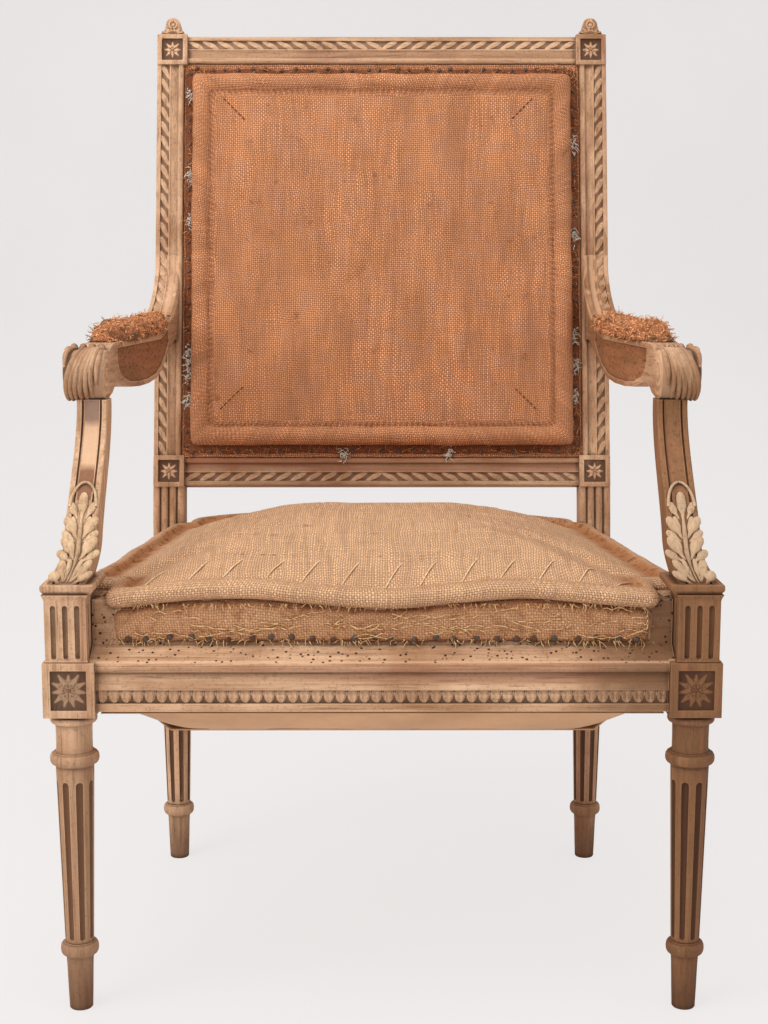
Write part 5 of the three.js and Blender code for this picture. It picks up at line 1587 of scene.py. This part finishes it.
def seat_edges():
    """Start, run and outward normal of each edge of the seat's plan."""
    corners = seat_corners()
    for k, corner in enumerate(corners):
        start, end = Vector(corner), Vector(corners[(k + 1) % len(corners)])
        run = end - start
        yield start, run, Vector((run.y, -run.x, 0)).normalized()


SEAT_CENTRE = (0.0, FRONT + 244 * MM)
SEAT_TACK = 366 * MM
SEAT_ROLL = 411 * MM
SEAT_STITCH = 417 * MM
ROLL_WAVE = 4.5 * MM
ROLL_HIGH = 130 * MM
ROLL_PITCH = 270 * MM
# Painted shade of the seat for each ring from the underside up: some on the wall, most under the roll and in the
# channel behind it, little on the roll's top, none on the dome.
SEAT_SHADE = [0, 0, 0.7, 0.6, 0.5, 0.45, 0.55, 0.8, 1, 1, 0.7, 0.4, 0.2, 0.1, 0.05, 0, 0, 0, 0.05, 0.1,
              0.2, 0.4, 0.8, 1, 1, 0.8, 0.4]


def seat_dome(x, y, share):
    crown = bpy.context.scene.chair_seat.crown
    z = SEAT_STITCH + crown * (1 - share ** 2.2)
    z += wobble(x, y, scale=9, seed=3) * 3.2 * MM * (1 - share ** 4)
    z += wobble(x, y, scale=26, seed=11) * 1.2 * MM
    crease = wobble(x * 0.5, y * 1.6, scale=34, seed=5)
    return z - max(0, 0.22 - abs(crease)) * 7 * MM * min(1, (1 - share) * 4)


def seat_lift(run, ring, x):
    rolling = ring > 7
    more = wobble(run, ring * 0.02, scale=22, seed=1) * (1.6 if rolling else 1.2) * MM
    more += wobble(run, ring * 0.02, scale=80, seed=2) * (0.9 if rolling else 2.2) * MM
    up = wobble(run, scale=14, seed=4) * (2.2 if rolling else 0.6) * MM
    if ring > 5:
        up += ROLL_WAVE * min(1, (ring - 5) / 2) * math.cos((x - ROLL_HIGH) * math.tau / ROLL_PITCH)
    return more, up


class CHAIR_OT_seat(bpy.types.Operator):
    """Burlap seat: tacked wall, stitched edge roll and domed top"""
    bl_idname = "chair.seat"
    bl_label = "Seat"

    def execute(self, context):
        r = bpy.context.scene.chair_seat.roll
        inner = [(0.6 * MM, RAIL_TOP + 1 * MM), (0.6 * MM, SEAT_TACK)]
        wall = [(out * MM, SEAT_TACK + rise * MM)
                for out, rise in ((2.6, -0.6), (3.4, 3), (4.4, 10), (5, 18), (4.6, 26), (2.6, 32))]
        roll = [(r * 0.1 + r * math.cos(angle), SEAT_ROLL + r * 0.92 * math.sin(angle))
                for angle in (math.radians(-118 + 236 * k / 14) for k in range(15))]
        channel = [(-r * out, SEAT_ROLL + r * rise) for out, rise in ((0.62, 0.5), (0.9, 0.34), (1.3, 0.36))]
        channel += [(-r * 1.8, SEAT_STITCH - 0.6 * MM), (-r * 2.3, SEAT_STITCH)]
        profile = inner + wall + roll + channel
        piece, count = cushion("burlap_seat", seat_corners(), SEAT_CENTRE, profile, seat_dome, seat_lift,
                               lambda *place: place)
        rings = (k // count for k in range(len(piece.data.vertices)))
        marked(piece, [SEAT_SHADE[ring] if ring < len(SEAT_SHADE) else 0.0 for ring in rings])
        all_smooth(piece)
        placed(piece, palette()["seat"], "seat_burlap", "seat_burlap_cover", "seat_stuffing", "spring_burlap")
        return {"FINISHED"}


PANEL_HALF = STILE_OUTER - STILE_FACE - 3 * MM
PANEL_LOW = 39 * MM
PANEL_HIGH = BACK_LENGTH - BLOCK_HEIGHT - 1 * MM
PANEL_CENTRE = (0.0, (PANEL_LOW + PANEL_HIGH) / 2)
PANEL_FACE = 4.3 * MM
FORWARD = BACK.to_3x3() @ Vector((0, -1, 0))


def panel_point(x, w, rise):
    """A point of the back panel: across, up its slope and out in front of its ledge."""
    return tuple(BACK @ Vector((x, PANEL_FACE - rise, w)))


def panel_dome(x, w, share):
    sizes = bpy.context.scene.chair_back
    z = 18 * MM + sizes.crown * (1 - share ** 2.4)
    z += wobble(x, w, scale=11, seed=21) * 2.2 * MM * (1 - share ** 6)
    z += wobble(x, w * 0.22, scale=19, seed=27) * 4.2 * MM * (1 - share ** 6)
    z += wobble(x, w, scale=30, seed=22) * 0.8 * MM
    crease = wobble(x * 1.2, w * 0.6, scale=26, seed=23)
    return z - max(0, 0.2 - abs(crease)) * 5 * MM * min(1, (1 - share) * 4)


def panel_lift(run, ring, x):
    more = wobble(run, ring * 0.03, scale=24, seed=31) * 1.8 * MM
    more += wobble(run, ring * 0.1, scale=90, seed=33) * 0.8 * MM
    up = wobble(run, scale=18, seed=32) * (2.2 if ring > 4 else 0.2) * MM
    return more, up


class CHAIR_OT_back_panel(bpy.types.Operator):
    """Burlap back: tacked margin, stitched roll and slightly domed field"""
    bl_idname = "chair.back_panel"
    bl_label = "Back Panel"

    def execute(self, context):
        sizes = bpy.context.scene.chair_back
        m, w, rise = sizes.margin, sizes.roll, sizes.rise
        profile = [(0, 0.2 * MM), (0, 1.4 * MM), (-m * 0.5, 1.9 * MM), (-m * 0.86, 2.4 * MM)]
        for k in range(11):
            angle = math.radians(-62 + 190 * k / 10)
            radius = w / 2
            profile.append((-(m + radius) + radius * math.cos(angle) * 1.02,
                            rise * 0.5 + rise * 0.5 * math.sin(angle)))
        channel = ((0.9, 18.2), (0.98, 16.6), (1.06, 17.4), (1.3, 18))
        profile += [(-(m + w * out), height * MM) for out, height in channel]
        low, high = PANEL_LOW + 2 * MM, PANEL_HIGH - 4 * MM
        corners = [(-PANEL_HALF, low), (PANEL_HALF, low), (PANEL_HALF, high), (-PANEL_HALF, high)]
        piece, count = cushion("burlap_back", corners, PANEL_CENTRE, profile, panel_dome, panel_lift,
                               panel_point)
        marks = []
        for k in range(len(piece.data.vertices)):
            ring, along = divmod(k, count)
            stitched = ring in (len(profile) - 3, len(profile) - 2) and along % 2 == 0
            marks.append(1.0 if ring < 5 else 0.6 if ring == 5 or stitched else 0.0)
        marked(piece, marks)
        tidied(all_smooth(piece), weld=False)
        placed(piece, palette()["back"], "back_burlap", "back_burlap_cover", "back_stuffing")
        return {"FINISHED"}


class CHAIR_OT_arm_pads(bpy.types.Operator):
    """Torn pads on the arms"""
    bl_idname = "chair.arm_pads"
    bl_label = "Arm Pads"

    def execute(self, context):
        rises = [2, 14, 20, 21, 20, 19, 18, 19, 20, 20, 21, 22, 21, 20, 16, 6]
        widths = [9, 13, 16, 17.5, 18.5, 19, 19, 18.5, 18, 17.5, 17, 16.5, 16, 15.5, 14, 9]
        around, stations = 20, 64
        for hand, side in (("left", -1), ("right", 1)):
            points = []
            for s in range(stations + 1):
                share = s / stations
                place = share * (len(rises) - 1)
                low = min(int(place), len(rises) - 2)
                part = place - low
                rise, half = ((table[low] * (1 - part) + table[low + 1] * part) * MM
                              for table in (rises, widths))
                y = FRONT + (166 + 280 * share) * MM
                sweep = max(0, y - ARM_SWEEP_Y) ** 2 * 3.4
                for k in range(around):
                    angle = math.tau * k / around
                    across, up = math.cos(angle), math.sin(angle)
                    flat = max(up, 0) ** 0.8
                    ragged = wobble(y, across * 0.02, up * 0.02, scale=60, seed=40 + side) * 3.4 * MM
                    ragged += wobble(y, across * 0.04, up * 0.04, scale=160, seed=50 + side) * 1.3 * MM
                    z = ARM_BED + sweep + HAIR + (rise + ragged) * flat + (0.4 * MM if up > 0 else 0)
                    points.append(Vector((side * (arm_x(y) + (half + ragged) * across), y, z)))
            piece = built(f"torn_pad_{hand}", points, ring_faces(stations + 1, around))
            all_smooth(tidied(mapped(piece, lambda k: (points[k].x * 1.2 + points[k].z, points[k].y))))
            placed(piece, palette()["pad"], "pad_burlap", f"{hand}_arm_burlap", f"{hand}_arm_stuffing")
        return {"FINISHED"}


class CHAIR_OT_dust_cover(bpy.types.Operator):
    """Cloth under the seat, hanging with the sag of the webbing"""
    bl_idname = "chair.dust_cover"
    bl_label = "Dust Cover"

    def execute(self, context):
        low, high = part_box("dust_cover")
        columns, rows, gap = 72, 60, 3 * MM
        front_x, back_x = LEG_LOW.x - gap, BACK_HIGH.x - DIE_SIDE - gap
        points = []
        for j in range(rows + 1):
            v = j / rows
            y = low.y + (high.y - low.y) * v
            half = side_x(y) - 16 * MM
            for i in range(columns + 1):
                x = half * (i / columns * 2 - 1)
                edge_x = min(1, max(0, half - 24 * MM - abs(x)) / (92 * MM))
                edge_y = min(1, max(0, min(y - low.y - 22 * MM, high.y - y - 20 * MM)) / (80 * MM))
                bowl = math.sin(edge_x * math.pi / 2) * math.sin(edge_y * math.pi / 2)
                z = high.z - HAIR - 41 * MM * bowl + wobble(x, y, scale=16, seed=60) * 0.9 * MM * bowl
                if abs(x) > front_x and y < FRONT + DIE_SIDE + gap:
                    x = math.copysign(front_x, x)
                if abs(x) > back_x and y > BACK_LEG_Y - DIE_SIDE / 2 - gap:
                    x = math.copysign(back_x, x)
                points.append((x, y, z))
        piece = built("hanging_dust_cover", points, grid_faces(rows, columns + 1, flipped=True))
        edit(piece)
        bpy.ops.mesh.select_all(action="SELECT")
        bpy.ops.mesh.remove_doubles(threshold=WELD)
        bpy.ops.mesh.dissolve_degenerate(threshold=WELD)
        rest()
        all_smooth(applied(piece, "SOLIDIFY", thickness=0.8 * MM, offset=0))
        placed(piece, palette()["dust"], "dust_cloth", "dust_cover")
        return {"FINISHED"}


class CHAIR_OT_back_webbing(bpy.types.Operator):
    """Woven straps and burlap behind the back"""
    bl_idname = "chair.back_webbing"
    bl_label = "Back Webbing"

    def execute(self, context):
        width = bpy.context.scene.chair_back.strap
        near, far = 9.2 * MM, 6.9 * MM
        steps, across = 72, 6
        row = across + 1
        kinds = [("upright", 128 * MM, 126 * MM, PANEL_CENTRE[1], PANEL_LOW, PANEL_HIGH, 1),
                 ("cross", 126 * MM, 128 * MM, 0, -PANEL_HALF, PANEL_HALF, -1)]
        for kind, pitch, crossed, middle, low, high, side in kinds:
            for index in range(3):
                points = []
                for s in range(steps + 1):
                    along = low + (high - low) * s / steps
                    crossing = math.cos((along - middle) / crossed * math.pi)
                    depth = (near + far) / 2 + (-1) ** index * side * crossing * (near - far) / 2
                    drift = wobble(along, index, scale=18, seed=70) * 0.8 * MM
                    for k in range(row):
                        offset = (index - 1) * pitch + width * (k / across - 0.5) + drift
                        across_back = (along, depth, PANEL_CENTRE[1] + offset)
                        points.append(BACK @ Vector((offset, depth, along) if side > 0 else across_back))
                piece = built(f"back_strap_{kind}_{index + 1}", points, grid_faces(steps, row))
                mapped(piece, lambda v: (v % row / across * width, v // row / steps * (high - low)))
                smooth(applied(piece, "SOLIDIFY", thickness=1.3 * MM, offset=0), 40)
                placed(piece, palette()["webbing"], "jute_webbing", f"back_web_{kind}_{index + 1}")
        steps, lap = 80, 2.6 * MM
        row = steps + 1
        points = []
        for j in range(row):
            for i in range(row):
                x = (PANEL_HALF + lap) * (i / steps * 2 - 1)
                w = PANEL_LOW - lap + (PANEL_HIGH - PANEL_LOW + 2 * lap) * j / steps
                points.append(BACK @ Vector((x, 4.9 * MM + wobble(x, w, scale=22, seed=80) * 0.3 * MM, w)))
        piece = built("back_backing_burlap", points, grid_faces(steps, row))
        wide, tall = 2 * PANEL_HALF, PANEL_HIGH - PANEL_LOW
        mapped(piece, lambda v: (wide * (v % row) / steps, tall * (v // row) / steps))
        smooth(applied(piece, "SOLIDIFY", thickness=0.9 * MM, offset=0), 40)
        placed(piece, palette()["back"], "back_burlap", "back_spring_burlap")
        return {"FINISHED"}


def tack_shape():
    """A round tack head, modelled once."""
    rest()
    bpy.ops.mesh.primitive_uv_sphere_add(segments=10, ring_count=6, radius=1)
    piece = named("tack_shape")
    edit(piece)
    pick(lambda v: v.co.z < -0.1, "VERT")
    bpy.ops.transform.resize(value=(0.5, 0.5, 0.6), center_override=(0, 0, 0))
    rest()
    return piece


def nailed(name, spots, radius, height):
    """Tack heads at places, each turned to its normal."""
    def driven(place, normal):
        turn = Vector(normal).to_track_quat("Z", "Y").to_matrix() @ Matrix.Diagonal((radius, radius, height))
        return lambda point: Vector(place) + turn @ point

    source = tack_shape()
    piece = scattered(name, source, [driven(*spot) for spot in spots])
    bpy.data.objects.remove(source)
    return smooth(piece, 60)


def strayed(rng, x, y, z):
    """A random vector, each coordinate between two limits."""
    return Vector((rng.uniform(*x), rng.uniform(*y), rng.uniform(*z)))


def hairs(name, roots, rng, length, radius, curl):
    """Short loose fibres from roots, each a place and a direction."""
    points, faces = [], []
    sides, steps = 3, 5
    for place, direction in roots:
        here, heading = Vector(place), Vector(direction).normalized()
        reach = length * rng.uniform(0.4, 1.3)
        faces += ring_faces(steps + 1, sides, len(points))
        for s in range(steps + 1):
            side = heading.orthogonal().normalized()
            other = heading.cross(side)
            thick = radius * (1 - 0.7 * s / steps)
            for k in range(sides):
                angle = math.tau * k / sides
                points.append(here + (side * math.cos(angle) + other * math.sin(angle)) * thick)
            heading = (heading + strayed(rng, (-1, 1), (-1, 1), (-1, 0.7)) * curl).normalized()
            here = here + heading * (reach / steps)
    return tidied(built(name, points, faces), weld=False)


class CHAIR_OT_tacks(bpy.types.Operator):
    """Tacks along the seat and round the back"""
    bl_idname = "chair.tacks"
    bl_label = "Tacks"

    def execute(self, context):
        rng = random.Random(SEED)
        pitch = bpy.context.scene.chair_seat.tack_pitch
        spots = []
        for a, run, normal in seat_edges():
            if run.length < 100 * MM:
                continue
            count = int(run.length / pitch)
            for j in range(count):
                along = a + run * ((j + 0.5 + rng.uniform(-0.15, 0.15)) / count)
                z = SEAT_TACK + rng.uniform(0.5, 4) * MM
                place = Vector((along.x, along.y, z)) + normal * 4.2 * MM
                spots.append((place, normal + Vector((0, 0, rng.uniform(-0.1, 0.3)))))
        seat = nailed("seat_tacks", spots, 3.1 * MM, 0.9 * MM)
        placed(seat, palette()["steel"], "spring_steel")
        spots = []
        inset = bpy.context.scene.chair_back.margin * 0.45
        half, height = PANEL_HALF - inset, PANEL_HIGH - PANEL_LOW - 2 * inset
        count = int(2 * PANEL_HALF / (pitch * 0.9))
        for w in (PANEL_LOW + inset, PANEL_HIGH - inset):
            for j in range(count):
                x = -half + 2 * half * (j + 0.5 + rng.uniform(-0.2, 0.2)) / count
                spots.append((panel_point(x, w + rng.uniform(-1.5, 1.5) * MM, 2.3 * MM), FORWARD))
        count = int((PANEL_HIGH - PANEL_LOW) / (pitch * 0.9))
        for x in (-half, half):
            for j in range(count):
                w = PANEL_LOW + inset + height * (j + 0.5 + rng.uniform(-0.2, 0.2)) / count
                spots.append((panel_point(x + rng.uniform(-1, 1) * MM, w, 2.3 * MM), FORWARD))
        back = nailed("back_tacks", spots, 2.4 * MM, 0.8 * MM)
        placed(back, palette()["steel"], "spring_steel")
        return {"FINISHED"}


def on_seat(tree, x, y):
    """The top of the seat at a place."""
    hit = tree.ray_cast(Vector((x, y, 0.6)), Vector((0, 0, -1)))
    return hit[0] if hit[0] else Vector((x, y, SEAT_STITCH))


def loose_thread(a, run, normal, rng):
    """A loose thread that lies along the wall of the seat."""
    start, reach = rng.random(), rng.uniform(12, 45) * MM / run.length
    height, line = rng.uniform(4, 30), []
    for s in range(7):
        along = a + run * min(1, start + reach * s / 6)
        height = min(32, max(2, height + rng.uniform(-3, 3)))
        line.append(Vector((along.x, along.y, SEAT_TACK + height * MM)) + normal * rng.uniform(5.2, 6.8) * MM)
    return tube("loose_thread", line, [0.42 * MM] * 7, 4)


CORNER_STITCHES = [(-191, 470, -164, 442), (182, 470, 156, 443), (-193, 92, -164, 120), (184, 92, 158, 118)]


class CHAIR_OT_threads(bpy.types.Operator):
    """Stitches, frayed threads and tufts of wadding"""
    bl_idname = "chair.threads"
    bl_label = "Threads"

    def execute(self, context):
        rng = random.Random(SEED + 1)
        depsgraph = bpy.context.evaluated_depsgraph_get()
        tree = BVHTree.FromObject(bpy.data.objects["burlap_seat"], depsgraph)
        pitch = bpy.context.scene.chair_seat.stitch_pitch
        stitches = []
        half = 228 * MM
        count = int(2 * half / pitch)
        for k in range(count + 1):
            x = -half + 2 * half * k / count + rng.uniform(-3, 3) * MM
            line = []
            for s in range(7):
                share = s / 6
                spot = on_seat(tree, x + 17 * MM * share, FRONT + (54 + 34 * share) * MM)
                line.append(spot + UP * (1.2 * math.sin(share * math.pi) + 0.1) * MM)
            stitches.append(tube(f"stitch_{k}", line, [0.7 * MM] * 7, 5))
        seams = joined("seat_stitches", *stitches)
        placed(seams, palette()["thread"], "jute_webbing")
        dots = []
        for k in range(46):
            for row, inset in enumerate((48, 98)):
                x = (-236 + 472 * k / 45) * MM + rng.uniform(-1, 1) * MM
                spot = on_seat(tree, x, FRONT + inset * MM)
                heading = Vector((rng.uniform(0.4, 1), rng.uniform(-0.3, 0.3), 0.02))
                dots.append((spot - UP * 0.2 * MM, heading))
        small = hairs("seat_small_stitches", dots, rng, 5 * MM, 0.5 * MM, 0.05)
        placed(small, palette()["fray"], "jute_webbing")
        roots, loose = [], []
        for a, run, normal in seat_edges():
            for _ in range(int(run.length / (3.2 * MM))):
                along = a + run * rng.random()
                place = Vector((along.x, along.y, SEAT_TACK + rng.uniform(-1.5, 3) * MM)) + normal * 3.4 * MM
                roots.append((place, normal * 0.5 + strayed(rng, (-0.8, 0.8), (-0.4, 0.4), (-0.1, -1))))
                under = Vector((along.x, along.y, SEAT_ROLL - 9 * MM)) + normal * 5.5 * MM
                roots.append((under, normal * 0.7 + strayed(rng, (-0.6, 0.6), (-0.4, 0.4), (-0.2, -1))))
            for _ in range(int(run.length / (9 * MM))):
                loose.append(loose_thread(a, run, normal, rng))
        fray = hairs("seat_fray", roots, rng, 8 * MM, 0.55 * MM, 0.45)
        placed(joined("seat_fray", fray, *loose), palette()["straw"], "seat_burlap")
        roots, white = [], []
        for _ in range(760):
            side = rng.choice("lrtb")
            inset = rng.uniform(1, 11) * MM
            if side in "lr":
                x = math.copysign(PANEL_HALF - inset, -1 if side == "l" else 1)
                w = rng.uniform(PANEL_LOW, PANEL_HIGH)
            else:
                x = rng.uniform(-PANEL_HALF, PANEL_HALF)
                w = PANEL_HIGH - inset if side == "t" else PANEL_LOW + inset
            direction = FORWARD * rng.uniform(0.3, 1) + Vector((rng.uniform(-1, 1), 0, rng.uniform(-1, 0.4)))
            roots.append((panel_point(x, w, 2.4 * MM), direction))
        panel = BVHTree.FromObject(bpy.data.objects["burlap_back"], depsgraph)
        seams = []
        for x, w, to_x, to_w in CORNER_STITCHES:
            for k in range(6):
                line = []
                for share in (k, k + 0.2, k + 0.4, k + 0.6):
                    across, along = x + (to_x - x) * share / 6, w + (to_w - w) * share / 6
                    spot = panel.ray_cast(panel_point(across * MM, along * MM, 80 * MM), -FORWARD)[0]
                    line.append(spot + FORWARD * 0.1 * MM)
                seams.append(tube("corner_stitch", line, [0.8 * MM] * 4, 5))
        placed(joined("corner_stitches", *seams), palette()["twine"], "back_burlap")
        fray = hairs("back_fray", roots, rng, 11 * MM, 0.42 * MM, 0.5)
        placed(fray, palette()["fray"], "back_burlap")
        tufts = [(-1, 0.13), (-1, 0.2), (-1, 0.235), (-1, 0.26), (-1, 0.6), (-1, 0.72), (-1, 0.93), (1, 0.14),
                 (1, 0.22), (1, 0.3), (1, 0.56), (1, 0.8), (0.35, 0.0), (-0.2, 0.0)]
        for across, share in tufts:
            w = PANEL_LOW + 4 * MM + (PANEL_HIGH - PANEL_LOW - 8 * MM) * share
            x = across * (PANEL_HALF - 5 * MM)
            for _ in range(24):
                place = panel_point(x + rng.gauss(0, 1.8) * MM, w + rng.gauss(0, 5) * MM, 2.6 * MM)
                white.append((place, FORWARD + strayed(rng, (-1, 1), (-0.2, 0.2), (-1, 1))))
        fluff = hairs("wadding_tufts", white, rng, 9 * MM, 0.7 * MM, 0.9)
        placed(fluff, palette()["fluff"], "hair_stuffing")
        for hand in ("left", "right"):
            pad = bpy.data.objects[f"torn_pad_{hand}"]
            roots = []
            polygons = [p for p in pad.data.polygons if p.normal.z > -0.3]
            for _ in range(1300):
                face = polygons[rng.randrange(len(polygons))]
                jitter = Vector((rng.uniform(-1, 1), rng.uniform(-1, 1), 0)) * 1.5 * MM
                lift = face.normal * rng.uniform(-0.1, 0.2)
                roots.append((face.center + jitter + face.normal * 0.3 * MM,
                              lift + strayed(rng, (-1, 1), (-1, 1), (-0.3, 0))))
            fuzz = hairs(f"pad_fibres_{hand}", roots, rng, 10 * MM, 0.7 * MM, 1.1)
            placed(fuzz, palette()["rag"], "pad_burlap")
        return {"FINISHED"}


class CHAIR_OT_hidden_parts(bpy.types.Operator):
    """Finishes of the solids that stay as they are: blocks, dowels, springs, screws and seat webbing"""
    bl_idname = "chair.hidden_parts"
    bl_label = "Hidden Parts"

    def execute(self, context):
        for name, node in frame["nodes"].items():
            if node.hide_render:
                continue
            if "spring" in name and "burlap" not in name and "twine" not in name or "screw" in name:
                material = palette()["steel"]
            elif "block" in name or "dowel" in name:
                material = palette()["inner"]
            else:
                material = palette()["dust"]
            node.data.materials.clear()
            node.data.materials.append(material)
        return {"FINISHED"}


class CHAIR_OT_stage(bpy.types.Operator):
    """Camera, pale floor and backdrop, and soft light from the left"""
    bl_idname = "chair.stage"
    bl_label = "Stage"

    def execute(self, context):
        sizes = bpy.context.scene.chair_stage
        rest()
        bpy.ops.object.camera_add(location=(-2.3 * MM, FRONT - sizes.distance, sizes.height),
                                  rotation=(math.pi / 2 - sizes.tilt, 0, math.radians(-0.14)))
        camera = bpy.context.active_object
        camera.name = "photo_camera"
        camera.data.lens = sizes.lens
        camera.data.sensor_width = 36
        camera.data.clip_start = 0.05
        bpy.context.scene.camera = camera
        floor = drawn("pale_floor", [(-4, -3.5, 0), (4, -3.5, 0)], filled=False)
        for back, up in ((6.4, 0), (0.25, 0.06), (0.22, 0.14), (0.14, 0.24), (0.06, 0.3), (0.02, 4.4)):
            bpy.ops.mesh.extrude_region_move(TRANSFORM_OT_translate={"value": (0, back, up)})
        all_smooth(tidied(floor))
        paint = Paint("pale_backdrop")
        cloudy = paint.noise(paint.objects(), 1.2, 2.0)
        base = paint.mix(paint.spread(cloudy, 0.3, 0.7), srgb(238, 235, 234), srgb(230, 227, 227))
        floor.data.materials.append(paint.done(base, 0.95))
        tree, nodes = paint.tree, paint.tree.nodes
        height = paint.axis(paint.objects(), 2)
        ray = nodes.new("ShaderNodeLightPath").outputs["Is Camera Ray"]
        low = paint.node("ShaderNodeMapRange", {0: height, 1: 0.0, 2: 0.6, 3: 0.85, 4: 0.6})
        share = paint.product(ray, low)
        glow = paint.node("ShaderNodeEmission", {"Color": (*srgb(240, 237, 236), 1), "Strength": 1.0})
        blend = paint.node("ShaderNodeMixShader", {0: share, 1: paint.shader.outputs[0], 2: glow})
        tree.links.new(blend, nodes["Material Output"].inputs["Surface"])
        world = bpy.context.scene.world or bpy.data.worlds.new("Sky")
        bpy.context.scene.world = world
        world.use_nodes = True
        background = world.node_tree.nodes["Background"]
        background.inputs["Color"].default_value = (0.96, 0.98, 1, 1)
        background.inputs["Strength"].default_value = sizes.sky
        lamps = [("key_lamp", (-2.2, -2.0, 2.1), sizes.key, 1.8, (1, 0.985, 0.96)),
                 ("fill_lamp", (2.0, -2.4, 1.6), sizes.key * 0.14, 2.0, (1, 1, 1)),
                 ("top_lamp", (-0.4, -0.6, 3.0), sizes.key * 0.85, 2.2, (1, 0.99, 0.97))]
        for name, place, power, width, tint in lamps:
            rest()
            aim = (Vector((0, 0, 0.5)) - Vector(place)).to_track_quat("-Z", "Y").to_euler()
            bpy.ops.object.light_add(type="AREA", location=place, rotation=aim)
            lamp = bpy.context.active_object
            lamp.name = name
            lamp.data.shape = "SQUARE"
            lamp.data.size = width
            lamp.data.energy = power
            lamp.data.color = tint
        bpy.context.scene.view_settings.view_transform = "Standard"
        return {"FINISHED"}


STEPS = ["front_legs", "back_legs", "seat_rails", "back_rails", "arm_supports", "arms", "seat", "back_panel",
         "arm_pads", "dust_cover", "back_webbing", "tacks", "threads", "hidden_parts", "stage"]


class CHAIR_PT_panel(bpy.types.Panel):
    """Lists the steps and sizes in the sidebar"""
    bl_label = "Armchair"
    bl_idname = "CHAIR_PT_panel"
    bl_space_type = "VIEW_3D"
    bl_region_type = "UI"
    bl_category = "Armchair"

    def draw(self, context):
        for name, group in GROUPS.items():
            box = self.layout.box()
            box.label(text=group.__doc__)
            for key in group.__annotations__:
                box.prop(getattr(context.scene, name), key)
        for step in STEPS:
            self.layout.operator(f"chair.{step}")


OPERATORS = [
    CHAIR_OT_front_legs, CHAIR_OT_back_legs, CHAIR_OT_seat_rails, CHAIR_OT_back_rails, CHAIR_OT_arm_supports,
    CHAIR_OT_arms, CHAIR_OT_seat, CHAIR_OT_back_panel, CHAIR_OT_arm_pads, CHAIR_OT_dust_cover,
    CHAIR_OT_back_webbing, CHAIR_OT_tacks, CHAIR_OT_threads, CHAIR_OT_hidden_parts, CHAIR_OT_stage,
    CHAIR_PT_panel,
]


def register():
    for name, group in GROUPS.items():
        bpy.utils.register_class(group)
        setattr(bpy.types.Scene, name, PointerProperty(type=group))
    for operator in OPERATORS:
        bpy.utils.register_class(operator)


def unregister():
    for operator in reversed(OPERATORS):
        bpy.utils.unregister_class(operator)
    for name, group in GROUPS.items():
        delattr(bpy.types.Scene, name)
        bpy.utils.unregister_class(group)


def main():
    register()
    for step in STEPS:
        getattr(bpy.ops.chair, step)()
    scrap_shapes()
    rest()


if __name__ == "__main__":
    main()
